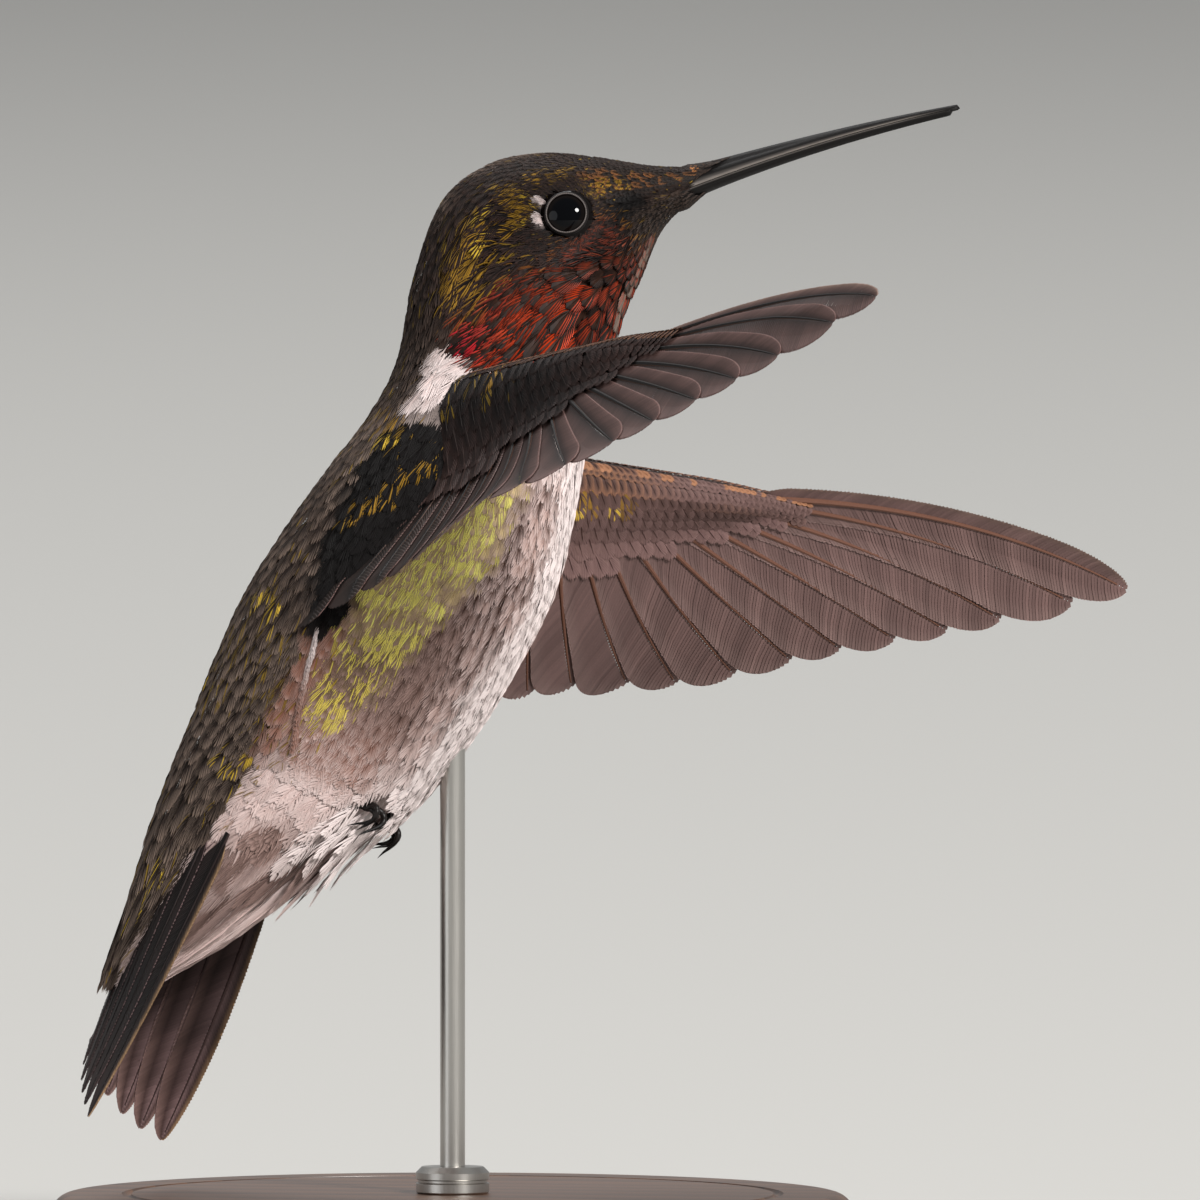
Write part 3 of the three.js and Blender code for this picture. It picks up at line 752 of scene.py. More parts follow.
class Plumage:
    """An adult male's markings and painted shade, as colours over the body's section t and angle from the
    back alpha.
    """

    dark_brown: Colour = (0.15, 0.115, 0.10)
    umber: Colour = (0.30, 0.245, 0.215)
    ash: Colour = (0.50, 0.43, 0.385)
    soot: Colour = (0.055, 0.043, 0.042)
    cocoa: Colour = (0.235, 0.165, 0.145)
    bronze: Colour = (0.50, 0.40, 0.12)
    gold: Colour = (0.86, 0.72, 0.24)
    old_gold: Colour = (0.60, 0.45, 0.13)
    orange_gold: Colour = (0.70, 0.46, 0.27)
    leaf: Colour = (1.0, 0.98, 0.52)
    olive: Colour = (0.86, 0.77, 0.56)
    ruby: Colour = (0.98, 0.12, 0.26)
    ember: Colour = (0.75, 0.225, 0.07)
    rust: Colour = (0.46, 0.19, 0.12)
    garnet: Colour = (0.165, 0.09, 0.055)
    chestnut: Colour = (0.30, 0.21, 0.18)
    mauve_brown: Colour = (0.62, 0.505, 0.47)
    mauve_white: Colour = (0.80, 0.71, 0.69)
    rosy_white: Colour = (0.80, 0.73, 0.715)
    white: Colour = (0.865, 0.815, 0.805)
    snow: Colour = (0.92, 0.87, 0.86)
    rufous: Colour = (0.51, 0.35, 0.29)

    # distance from row to row at each section, along the back, the sides and the front
    back_rows = (.26, .3, .38, .46, .54, .62, .75, .9, 1.0, 1.1, 1.15, 1.15, 1.2, 1.25, 1.5, 1.8, 2.1, 2.3)
    side_rows = (.24, .27, .3, .36, .46, .98, 1.25, 1.15, 1.0, .95, .95, .95, .95, 1.0, 1.4, 1.8, 2.2, 2.4)
    front_rows = (.24, .28, .42, .72, 1.0, 1.2, 1.28, 1.1, .9, .9, .9, .9, .95, 1.1, 1.4, 1.9, 2.4, 2.8)
    blotches = ((14.3, 121), (15.35, 147), (14.95, 112), (15.9, 128), (14.6, 158))  # section and angle

    def __init__(self) -> None:
        """Draws the patches that break up the colours."""
        self.patches = Patches(11)
        self.spots = Patches(12)

    def pitch(self, t: Array, alpha: Array) -> Array:
        """Distance between rows of feathers: least about the bill and eyes, most on the tail coverts."""
        rows = (self.back_rows, self.side_rows, self.front_rows)
        back, side, front = (np.interp(t, np.arange(18), row) for row in rows)
        return back + (side - back) * fade(0, 90, alpha) + (front - side) * fade(90, 150, alpha)

    def dress(self, t: Array, angle: Array, rng: Random | None = None) -> Dress:
        """Colours of the feathers that show at places of the body, or of the skin there.

        Each marking, and the painted shade, is laid in turn through a smooth mask over t and alpha.

        Args:
            t: section number.
            angle: from the back, over the left side, in radians.
            rng: source of each feather's own colour; the skin has none.
        """
        t, angle = np.broadcast_arrays(np.asarray(t, float), np.asarray(angle, float))
        alpha = from_back(angle)
        left = np.where(np.mod(angle, TURN) < np.pi, 40.0, 0.0)
        own = rng.random(t.shape) if rng else np.full(t.shape, 0.5)
        patch = self.patches(t * 2.2 + left, alpha / 14)
        coarse = self.patches(t * 0.9 + left + 7, alpha / 30 + 5)
        d = Dress.plain(t.shape, self.dark_brown, self.bronze, 0.02, 0.4)

        def zone(*edges: float) -> Array:
            """1 between two sections and between two angles, each pair with the softness of its edges."""
            return band(t, *edges[:3]) * band(alpha, *edges[3:])

        # back and crown: dark, each feather with paler barbs; breast and belly: rosy white
        d.lay(self.dark_brown, 1.0, self.umber)
        d.lay(self.dark_brown, fade(6.5, 9.0, t) * (0.35 + 0.65 * fade(0.3, 0.7, patch)), self.ash)
        d.lay(self.soot, (1 - fade(5.6, 7.2, t)) * 0.7, self.cocoa)
        crown = (1 - fade(20, 46, alpha)) * band(t, 1.5, 6.5, 0.5)
        d.lay(self.dark_brown, crown * fade(0.35, 0.7, patch), self.ash)
        d.shine(self.bronze, 0.12, fade(0.45, 0.7, coarse) * band(t, 5.0, 13.5, 0.5), 0.4)
        under = fade(7.0, 7.4, t) * fade(92, 112, alpha - 12 * band(t, 7.8, 10.2, 0.5))
        d.lay(self.rosy_white, under, self.white)
        d.dull(under)

        # the mottled sides of the breast and belly
        mottled = zone(8.9, 12.6, 0.5, 88, 163, 7)
        d.lay(self.mauve_brown, mottled * 0.9, self.mauve_white)
        spot = fade(0.38, 0.56, 0.75 * self.spots(t * 2.6 + left, alpha / 7.5) + 0.25 * own)
        d.lay(self.chestnut, mottled * spot * fade(108, 120, alpha), self.mauve_white)
        d.lay(self.chestnut, zone(10.8, 12.9, 0.5, 88, 140, 8) * 0.85, self.mauve_brown)

        # green flank: a band that runs from under the wing down to the back, brightest along its middle
        centre = np.interp(t, [8.8, 10.2, 12.3], [130, 117, 97]) + 10 * (coarse - 0.5)
        breadth = np.interp(t, [8.8, 10.2, 11.4, 12.4], [11, 18, 17, 12]) * (0.75 + 0.5 * patch)
        away = np.abs(alpha - centre) / breadth
        flank = (1 - fade(0.75, 1.15, away)) * band(t, 8.9, 12.5, 0.3)
        above = band(t, 9.4, 12.4, 0.4) * (alpha < centre) * fade(86, 92, alpha)
        d.lay(self.cocoa, above * 0.6, self.mauve_brown)
        d.lay(self.olive, flank * 0.8, self.mauve_brown)
        wave = 0.5 + 0.5 * np.sin(TURN * (t * 2.1 + alpha / 60 + 0.8 * patch))
        bright = fade(0.35, 0.75, 0.45 * wave + 0.3 * patch + 0.35 * own)
        d.lay(self.chestnut, flank * fade(10.7, 11.9, t) * 0.85, self.mauve_brown)
        d.shine(self.leaf, 0.25 + 0.75 * bright * (1 - 0.4 * fade(0.4, 1.0, away)), flank * (own > 0.1), 0.05)
        d.glint = blend(d.glint, linear(self.gold), flank * fade(10.6, 12.2, t) * 0.6)

        # rufous thigh, white vent, the coverts under the tail with brown blotches
        d.lay(self.rufous, zone(11.2, 13.3, 0.4, 79, 93, 4), self.mauve_brown)
        d.lay(self.rufous, zone(12.4, 13.2, 0.3, 92, 138, 8) * 0.8, self.mauve_white)
        low = fade(82, 92, alpha)
        vent = fade(12.9, 13.4, t) * low
        d.lay(self.mauve_white, vent, self.rosy_white)
        dusky = fade(13.3, 13.9, t) * low * (1 - fade(120, 150, alpha))
        d.lay(self.mauve_brown, dusky * 0.2, self.mauve_white)
        d.lay(self.white, vent * fade(128, 146, alpha) * (1 - fade(14.4, 15.0, t)), self.snow)
        blotch = sum(bump((t - at) / 0.4, (alpha - around) / 12) for at, around in self.blotches)
        d.lay(self.chestnut, np.minimum(blotch * 1.6, 1) * 0.9, self.mauve_brown)
        d.lay(self.white, fade(160, 172, alpha) * band(t, 8.3, 13.6, 0.4))
        d.lay(self.white, fade(150, 165, alpha) * band(t, 11.3, 13.6, 0.5))

        # rump and the coverts over the tail: soot with thin rims of ash, some of gold
        rump = fade(10.5, 13.0, t) * (1 - fade(70, 82, alpha))
        d.lay(self.dark_brown, rump * 0.9, self.ash)
        d.shine(self.gold, 0.35, rump * (own > 0.93), 0.5)
        # painted shadow of the wing on the side under its root: soot, with its glints taken off
        upper = np.interp(t, [8.6, 9.5, 10.9, 11.6], [60, 59, 69, 77])
        lower = np.interp(t, [8.2, 9.4, 10.1, 10.8, 11.5], [104, 106, 102, 94, 87])
        painted_wing_shadow = band(alpha, upper, lower, 2) * band(t, 8.25, 11.6, 0.1)
        d.lay(self.soot, painted_wing_shadow)
        d.dull(painted_wing_shadow)
        d.shine(self.old_gold, 0.6, zone(8.2, 8.95, 0.1, 58, 74, 3) * (own > 0.3), 0.3)
        d.shine(self.gold, 0.5, zone(8.2, 8.9, 0.1, 60, 70, 3) * (own > 0.5), 0.2)
        d.shine(self.old_gold, 0.4, zone(7.8, 8.5, 0.1, 50, 78, 5) * (own > 0.75), 0.4)
        tips = band(t - np.interp(alpha, [68, 86, 98], [9.9, 9.35, 8.75]), -0.24, 0.24, 0.06)
        d.shine(self.old_gold, 0.55, tips * band(alpha, 68, 98, 3) * (own > 0.3), 0.3)
        d.shine(self.gold, 0.8, zone(11.1, 11.4, 0.12, 38, 58, 5) * (own > 0.3), 0.5)
        d.shine(self.gold, 0.45, zone(13.2, 13.9, 0.25, 78, 85, 3) * (own > 0.5), 0.3)

        # collar
        low_edge = gorget_foot(alpha)
        collar = fade(-0.05, 0.1, t - low_edge) * (1 - fade(7.9, 8.3, t)) * fade(60, 68, alpha)
        d.lay(self.rosy_white, collar, self.white)
        d.dull(collar)

        # gorget: garnet scales; painted glints strongest low down, ruby at the back corner, some scales lit,
        # others dull
        upper = np.interp(alpha, [70, 84, 100, 119, 140, 160, 180], [6.35, 6.05, 5.35, 4.6, 3.2, 2.5, 1.9])
        above = t - upper
        gorget = fade(-0.25, 0.15, above) * (1 - fade(-0.05, 0.05, t - low_edge)) * fade(66, 72, alpha)
        glint_strength = fade(0.0, 1.6, above)
        d.lay(self.garnet, gorget, self.soot)
        hot = glint_strength * (0.5 + 0.6 * own) * (1 - 0.5 * fade(120, 160, alpha))
        red = blend(linear(self.rust), linear(self.ember), hot)
        corner = (1 - fade(78, 100, alpha)) * fade(0.1, 0.5, above) * (0.5 + 0.5 * own)
        d.glint = blend(d.glint, blend(red, linear(self.ruby), corner), gorget)
        lit = own > 0.32 - 0.12 * glint_strength - 0.2 * (1 - fade(84, 100, alpha))
        d.share = d.share * (1 - gorget) + gorget * np.where(lit, 0.92 - 0.3 * fade(128, 160, alpha), 0.12)
        d.gloss = d.gloss * (1 - gorget) + gorget * 0.25
        d.lay(self.ash, band(t, 1.9, 6.6, 0.3) * fade(171, 177, alpha) * 0.7)

        # face: dusky cheek, black lores, the gold line over them and behind the eye, the white marks
        cheek = band(t, 2.4, 5.6, 0.4) * fade(84, 92, alpha) * (1 - gorget)
        d.lay(self.soot, cheek, self.cocoa)
        d.shine(self.rust, 0.3, cheek * fade(95, 120, alpha), 0.2)
        d.lay(self.soot, zone(1.5, 2.55, 0.25, 104, 134, 7))
        d.lay(self.soot, band(t, 0.4, 2.2, 0.4) * fade(122, 138, alpha), self.umber)
        d.lay(self.umber, zone(-1.0, 1.3, 0.2, 121.5, 126.5, 1.5))
        streak = zone(3.9, 6.4, 0.4, 58, 87, 5)
        d.lay(self.soot, streak, self.cocoa)
        d.shine(self.old_gold, 0.65 * fade(0.2, 0.8, patch + 0.2 * own), streak, 0.35)
        d.shine(self.gold, 0.5, streak * (own > 0.9), 0.3)
        d.shine(self.old_gold, 0.45, zone(2.6, 3.6, 0.2, 58, 72, 4) * (own > 0.4), 0.45)
        fore = zone(0.2, 2.5, 0.2, 60, 100, 6)
        d.lay(self.soot, fore, self.umber)
        d.lay(self.soot, fore * (own > 0.58) * band(alpha, 64, 98, 5), self.orange_gold)
        d.shine(self.old_gold, 0.5, zone(1.7, 2.6, 0.2, 80, 98, 5) * (own > 0.2), 0.3)
        marks = bump((t - 3.72) / 0.105, (alpha - 82) / 4.2) + bump((t - 4.08) / 0.15, (alpha - 92) / 4.4)
        mark = fade(0.3, 0.5, marks)
        d.lay(self.rosy_white, mark, self.white)
        d.dull(mark)
        return d


def gorget_foot(alpha: Array) -> Array:
    """The section number at which the gorget ends and the collar begins."""
    return 6.98 + 0.25 * fade(70, 98, alpha)


def open_cut(barbs: int, ragged: float) -> Cut:
    """The make of the fine feathers of head and nape, whose barbs stand apart."""
    return Cut(barbs, widest=0.6, roots=0.55, ragged=ragged, cup=0.1, core=0.12, cover=0.65)


class Tract(Enum):
    """The parts of the coat, each a piece of its own, with its slot and the make of its feathers."""

    forehead = ("crown_and_gorget", Cut(5, widest=0.4, cup=0.2, core=0.4, settle=2.4, hem=0.12))
    crown = ("crown_and_gorget", open_cut(8, 0.12))
    face = ("crown_and_gorget", open_cut(6, 0.14))
    gorget = ("crown_and_gorget", Cut(
        7, widest=0.62, roots=0.42, core=0.86, cover=0.85, ragged=0.01, ridge=0.9, cup=0.16, fork=0.42,
        groove=0.62, fringe=1.0, settle=2.2, uneven=0.05, bleed=0.12, border=0.5))
    nape = ("collar", open_cut(8, 0.12))
    collar = ("collar", Cut(
        11, widest=0.6, roots=0.6, ragged=0.1, cover=0.9, core=0.3, cup=0.04, groove=0.16))
    mantle = ("body_feathers", Cut(
        10, widest=0.62, roots=0.6, ragged=0.07, cup=0.08, core=0.1, cover=0.9, uneven=0.1))
    breast = ("body_feathers", Cut(
        12, widest=0.5, roots=0.6, ragged=0.14, cover=1.2, core=0.07, ridge=0.22, roll=0.1, cup=0.02,
        fork=0.35, groove=0.08, settle=3.4, uneven=0.03))
    flank_green = ("body_feathers", Cut(
        8, widest=0.58, roots=0.45, core=0.84, cover=0.95, cup=0.05, ridge=0.8, fork=0.45, groove=0.25,
        fringe=0.35, settle=3.4, bleed=0.15, uneven=0.05, roll=0.2, hem=0.4, border=0.1))
    flank_pale = ("body_feathers", Cut(
        10, widest=0.6, roots=0.58, ragged=0.08, core=0.07, cover=1.1, cup=0.03, ridge=0.25, fork=0.45,
        groove=0.12, settle=3.4, uneven=0.05, roll=0.12, hem=0.45))
    vent = ("body_feathers", Cut(
        13, ragged=0.2, core=0.18, fork=0.5, ridge=0.2, roll=0.12, cup=0.05, groove=0.06, uneven=0.03))
    rump = ("body_feathers", Cut(
        10, widest=0.6, roots=0.66, ragged=0.06, cup=0.08, core=0.1, cover=0.9, groove=0.65, uneven=0.09))
    under_tail = ("body_feathers", Cut(
        15, widest=0.5, roots=0.76, ragged=0.06, core=0.14, cover=0.9, cup=0.06, groove=0.12, uneven=0.035,
        hem=0.4))

    def holds(self, t: Array, angle: Array) -> Array:
        """Which places of the body are in this part."""
        alpha = from_back(angle)
        gorget_top = np.interp(alpha, [66, 84, 100, 119, 140, 160, 180], [6.5, 6.0, 5.3, 4.6, 3.2, 2.5, 1.9])
        green_edge = np.interp(t, [8.8, 10.2, 11.4, 12.4], [141, 135, 124, 106])
        rules = (
            ("forehead", (t < 2.45) & (alpha < 112)),
            ("gorget", (t < 6.9) & (t > gorget_top) & (alpha > 68)),
            ("gorget", (t < gorget_foot(alpha)) & (t >= 6.0) & (alpha > 70)),
            ("crown", (t < 5.0) & (alpha < 78)),
            ("face", (t < 6.4) & (alpha >= 78)),
            ("nape", (t < 8.1) & (alpha < 62)),
            ("collar", t < 8.3),
            ("mantle", (t < 12.9) & (alpha < 78)),
            ("flank_green", (t < 12.7) & (alpha < green_edge)),
            ("flank_pale", (t < 12.9) & (alpha < 150)),
            ("breast", t < 12.9),
            ("vent", (t < 14.6) & (alpha > 100)),
            ("rump", alpha < 84),
        )
        names = np.select([place for _, place in rules], [name for name, _ in rules], "under_tail")
        return names == self.name


COVERT_CUT = Cut(
    8, widest=0.58, roots=0.66, ragged=0.02, ridge=0.22, roll=0.15, core=0.5, cover=1.1, cup=0.05,
    groove=0.16, uneven=0.04)
NASAL_CUT = Cut(5, ragged=0.12, core=0.4, cup=0.15, settle=1.5, groove=0.5)


@dataclass
class Coat:
    """The small feathers of the body."""

    body: Body
    plumage: Plumage
    overlap: float = 2.7  # length of a feather, in rows
    breadth: float = 0.61  # half-width of a feather, in places
    spread: float = 1.08  # places in a row, in rows
    broader: float = 0.32  # how much more that is on the gorget
    eye_room: float = 1.3  # radius about the eye's axis that holds no roots
    eye_calm: float = 3.6  # radius beyond which the eye doesn't shorten the feathers
    bared: float = 0.72  # share of the length at which a feather shows, and so takes its colour
    tuft_lift: float = 1.5  # how far the tips of the loose white feathers of the vent stand off
    foot: Triple = (-2.7, 2.5, -23.7)  # the middle of the toes
    foot_room: float = 1.4  # no feather ends nearer than this to it
    nasal_reach: float = 2.9  # how far the feathers run forward over the bill
    chin_reach: float = 1.3  # and under it
    seam_rows: Pair = (11.35, 12.7)  # where the pale seam of the flank begins and ends

    def feathers(self) -> Feathers:
        """All the feathers of the body, rooted in staggered rows and sized by their place."""
        rng = seeded(21)
        body, form = self.body, self.body.form
        near, _ = body.eye(form.points)
        calm = 0.62 + 0.38 * fade(self.eye_room, self.eye_calm, near)
        pitch = self.plumage.pitch(body.t, body.alpha) * calm
        spread = self.spread + self.broader * band(body.t, 4.2, 6.8, 0.6) * fade(66, 78, body.alpha)
        t, angle = form.lattice(pitch, spread, rng)
        points = form.read(form.points, t, angle)
        near, away = body.eye(points)
        alpha = from_back(angle)
        kept = ((near > self.eye_room) | (t > 6)) & (t < 16.4 - 0.8 * band(alpha, 70, 125, 12))
        t, angle, alpha, points, near, away = (v[kept] for v in (t, angle, alpha, points, near, away))
        own_pitch = form.read(pitch, t, angle)
        turn = np.mod(angle, TURN)
        lie = self.lies(t, alpha, turn, form.read(form.normals, t, angle), near, away, rng)
        size = 1 + rng.normal(0, 0.05, len(t))
        vent = Tract.vent.holds(t, angle)
        length = own_pitch * self.overlap * size * np.where(vent, 1.5, 1.0)
        length = length * (1 + 0.3 * fade(13.5, 15, t)) * (1 - 0.35 * fade(15.6, 16.8, t))
        half = own_pitch * self.breadth * form.read(spread, t, angle) * (1 + rng.normal(0, 0.04, len(t)))
        depth = body.coat_depth(t, alpha) * (1 - 0.3 * fade(7, 9, t))
        lift = 0.02 + 0.02 * own_pitch + np.where(vent, 0.12 * rng.random(len(t)), 0)
        tuft = band(t, 12.9, 13.8, 0.2) * fade(134, 150, alpha)
        lift = lift + tuft * self.tuft_lift * rng.random(len(t)) ** 2
        length, half = length * (1 + 0.25 * tuft), half * (1 - 0.4 * tuft)
        bare = Feathers(form, t, angle, lie, length, half, depth, lift, None, Body.unwrap(t, turn))
        self.shown = bare.moved(np.zeros(len(t)), length * self.bared)
        bare.dress = self.plumage.dress(*self.shown, rng)
        tips = points + lie * (length * self.bared)[:, None]
        apart = np.linalg.norm((tips - self.foot) * [1, 0, 1], axis=1)
        apart = apart + np.abs(np.abs(tips[:, 1]) - abs(self.foot[1]))
        clear = (apart > self.foot_room) | (alpha < 90)
        self.shown = tuple(v[clear] for v in self.shown)
        return bare.taken(clear)

    def bill_root(self, bill: "Bill") -> Feathers:
        """The smallest feathers, which run forward over the root of the bill to a point on its ridge."""
        rng = seeded(23)
        ahead = np.linspace(-self.nasal_reach - 0.4, 1.2, 60)
        angle = full_turn(72)
        length = float(np.linalg.norm(np.subtract(bill.tip, bill.root)))
        line, depth, width = bill.section(-ahead[:, None] / length)
        under = fade(-1.6, 0.2, ahead)[:, None] * fade(1.6, 2.4, np.pi - np.abs(angle - np.pi))
        swell = 1 + 0.12 * fade(-2.2, 0.3, ahead)[:, None] + 0.3 * under
        y, z = width * swell * np.sin(angle), depth * swell * np.cos(angle)
        form = Form(ahead, angle, line[:, None] + np.stack([0 * y, y, z], -1), True, 1.0)
        a, b = form.lattice(np.full(y.shape, 0.25), 1.0, rng)
        off = from_back(b)
        over, under = self.nasal_reach * (1 - (off / 112) ** 2), self.chin_reach * (off - 112) / 68
        front = np.where(off < 112, over, under)
        kept = a > -front + rng.normal(0, 0.12, len(a))
        a, b, off = (v[kept] for v in (a, b, off))
        dress = Dress.plain(a.shape, Plumage.soot, Plumage.soot, 0.0, 0.3)
        dress.lay(Plumage.soot, 1.0, Plumage.umber)
        lucky = rng.random(len(a)) > 0.45
        dress.shine(Plumage.orange_gold, 0.6, band(off, 40, 100, 12) * lucky * fade(-2.0, -1.0, a), 0.4)
        share = (a - ahead[0]) / (ahead[-1] - ahead[0])
        uv = paired(0.02 + 0.6 * np.mod(b, TURN) / TURN, 0.002 + 0.026 * share)
        length = 0.85 * (1 + rng.normal(0, 0.06, len(a)))
        return Feathers(form, a, b, form.read(form.along, a, b), length, 0.19, 0.05, 0.02, dress, uv)

    def lies(self, t: Array, alpha: Array, turn: Array, normal: Array, near: Array, away: Array,
             rng: Random) -> Array:
        """Directions of the feathers: to the tail, swept to the back on the throat, and round the eyes."""
        form = self.body.form
        flow = unit(form.read(form.along, t, turn))
        aside = np.cross(flow, normal) * np.where(turn < np.pi, -1.0, 1.0)[:, None]  # towards the back
        sweep = np.radians(44) * band(t, 2.6, 7.0, 0.6) * band(alpha, 74, 150, 22)
        sweep = sweep + rng.normal(0, 0.07, len(t))
        lie = flow * np.cos(sweep)[:, None] + aside * np.sin(sweep)[:, None]
        inward = np.minimum(dot(lie, away), 0)
        pull = 1 - fade(1.7, 3.0, near)
        return unit(lie - away * (inward * pull)[:, None] + away * (0.25 * pull)[:, None])

    def pieces(self) -> list[tuple[Tract, Piece]]:
        """The coat's pieces."""
        feathers = self.feathers()
        made = []
        for number, tract in enumerate(Tract):
            shape = feathers.taken(tract.holds(*self.shown)).grown(tract.value[1], seeded(100 + number))
            made.append((tract, shape.outward().mesh(f"coat_{tract.name}")))
        return made

    def seam(self) -> Feathers:
        """The long pale edge of the flank feathers, where they fold over the rump."""
        rng = seeded(25)
        t = np.tile(np.linspace(*self.seam_rows, 26), 2)
        alpha = np.interp(t, [11.3, 11.8, 12.3, 12.8], [80, 83, 88.5, 96]) + rng.normal(0, 0.3, len(t))
        angle = np.radians(np.where(np.arange(len(t)) < 26, alpha, 360 - alpha))
        form = self.body.form
        along, across = form.read(form.along, t, angle), form.read(form.across, t, angle)
        lie = unit(along + across * np.radians(11) * np.where(angle < np.pi, 1, -1)[:, None])
        dress = self.plumage.dress(t, angle)
        low = fade(11.5, 12.4, t)
        dress.lay(Plumage.rosy_white, 1 - low, Plumage.white)
        dress.lay(Plumage.rufous, low, Plumage.mauve_brown)
        dress.dull(1.0)
        return Feathers(form, t, angle, lie, 1.5, 0.17 + 0.03 * low, 0.1, 0.24, dress, Body.unwrap(t, angle))

    def fine_pieces(self) -> list[Piece]:
        """The pieces over the root of the bill and along the seam."""
        made = {"coat_bill_root": self.bill_root(Bill()), "coat_flank_seam": self.seam()}
        return [feathers.grown(NASAL_CUT, seeded(24)).outward().mesh(name) for name, feathers in made.items()]


# ---- wings


@dataclass
class Wing:
    """One wing: its arm, the coverts on both faces of it, and its flight feathers.

    A wing is a slightly twisted sheet. s runs out along the span from the shoulder and c back across the
    chord. The sizes are those of a left wing; a right wing is its mirror image.
    """

    name: str
    shoulder: Triple
    span: Triple
    tip_chord: Triple
    mirror: float = 1.0
    root_chord: Triple = (-0.33, 0.33, -0.88)
    twist_spans: Pair = (4.0, 18.0)
    camber: float = 0.8
    camber_chord: float = 14.0
    tip_spans: tuple[float, ...] = (
        -2.2, 1.2, 3.7, 6.2, 8.9, 12.1, 16.1, 19.3, 22.7, 25.9, 28.8, 32.1, 35.3, 38.6, 43.0, 46.4)
    trailing_edge: tuple[float, ...] = (17.2, 14.8, 12.8, 11.5, 7.7, 4.7, 1.5, -1.5)
    trailing_from: float = -4.0
    trailing_step: float = 8.0
    root_spans: Pair = (1.0, 18.6)
    root_chords: Pair = (3.6, -0.9)
    shaft_bow: Pair = (0.1, -0.06)
    arm_spans: Pair = (-1.5, 20.5)
    arm_chord: Pair = (2.0, -0.9)
    arm_half_chord: Pair = (3.6, 0.95)
    arm_half_depth: Pair = (1.7, 0.5)
    wrist: Pair = (16.5, 24.5)  # spans between which the arm thins out
    fall: float = 1.5  # how far behind its middle the arm's coverts meet the flight feathers, in half chords
    skin_depth: float = 0.3
    blade: float = 0.26  # height of the coverts over the middle of the flight feathers
    tilt: float = 0.055  # of each flight feather about its shaft, leading vane up

    brown: Colour = (0.29, 0.215, 0.20)
    shadow: Colour = (0.16, 0.115, 0.105)
    rosy_brown: Colour = (0.40, 0.31, 0.295)
    covert: Colour = (0.42, 0.325, 0.315)
    mauve: Colour = (0.50, 0.395, 0.38)
    pale: Colour = (0.58, 0.48, 0.46)
    shaft_over: Colour = (0.07, 0.05, 0.045)
    shaft_under: Colour = (0.40, 0.275, 0.225)
    cinnamon: Colour = (0.62, 0.44, 0.33)
    outer_edge: Colour = (0.50, 0.41, 0.37)

    def sheet(self, s: Array, c: Array) -> tuple[Array, Array, Array]:
        """The wing's middle surface: the shoulder plus s along the span, c along the chord, which turns from
        the root's to the tip's, and the camber, a half sine of the chord, along their cross product.

        Returns:
            Points, directions out of the upper face, and directions of the chord.
        """
        s, c = np.broadcast_arrays(np.asarray(s, float), np.asarray(c, float))
        span = unit(np.array(self.span))
        chord = blend(np.array(self.root_chord), np.array(self.tip_chord), fade(*self.twist_spans, s))
        chord = unit(chord - span * dot(chord, span)[..., None])
        under = np.cross(chord, span)
        rise = self.camber * np.sin(np.pi * np.clip(c, 0, self.camber_chord) / self.camber_chord)
        points = self.shoulder + span * s[..., None] + chord * c[..., None] + under * rise[..., None]
        flip = np.array([1, self.mirror, 1])
        return points * flip, -under * flip, chord * flip

    def shaft(self, a: float, v: Array) -> Array:
        """Span and chord at share v along the shaft at place a, counted in feathers outwards: a line from
        root to tip, bowed sideways by a parabola."""
        share = a / (len(self.tip_spans) - 1)
        root = np.array([np.interp(share, [0, 1], ends) for ends in (self.root_spans, self.root_chords)])
        tip_span = smooth_curve(np.array(self.tip_spans), np.array(a, float))
        place = (tip_span - self.trailing_from) / self.trailing_step
        tip_chord = smooth_curve(np.array(self.trailing_edge), place)
        line = np.array([float(tip_span), float(tip_chord)]) - root
        bow = np.interp(share, [0, 1], self.shaft_bow) * 4 * v * (1 - v)
        return root + line * np.asarray(v)[..., None] + np.array([-line[1], line[0]]) * bow[..., None]

    def arm_profile(self, s: Array) -> tuple[Array, Array, Array]:
        """The arm's middle chord, half chord and half depth at s."""
        pairs = (self.arm_chord, self.arm_half_chord, self.arm_half_depth)
        middle, half, depth = (np.interp(s, self.arm_spans, pair) for pair in pairs)
        thin = fade(*self.wrist, s)
        return middle, half * (1 - 0.4 * thin), depth * (1 - 0.85 * thin)

    def arm_skin(self) -> Shape:
        """The skin of the arm: ellipses about the chord line, smaller than the feathered arm."""
        s = np.linspace(*self.arm_spans, 48)
        angle = full_turn(32)
        middle, half, depth = (v[:, None] for v in self.arm_profile(s))
        c = middle + np.maximum(half - self.skin_depth, 0.94 * half) * np.cos(angle)
        points, normal, _ = self.sheet(s[:, None], c)
        height = np.maximum(depth - self.skin_depth, 0.85 * depth) * np.sin(angle)
        flat, faces = tube_mesh(points + normal * height[..., None])
        uv = paired(self.uv_left + 0.17 * angle / TURN, 0.03 + 0.3 * s[:, None] / 22)
        uv = np.concatenate([uv.reshape(-1, 2), [[self.uv_left, 0.03], [self.uv_left, 0.33]]])
        return Shape(flat, faces, linear(self.shadow), uv)

    @property
    def uv_left(self) -> float:
        """Where the arm's part of the skin's unwrap begins."""
        return 0.64 if self.mirror > 0 else 0.82

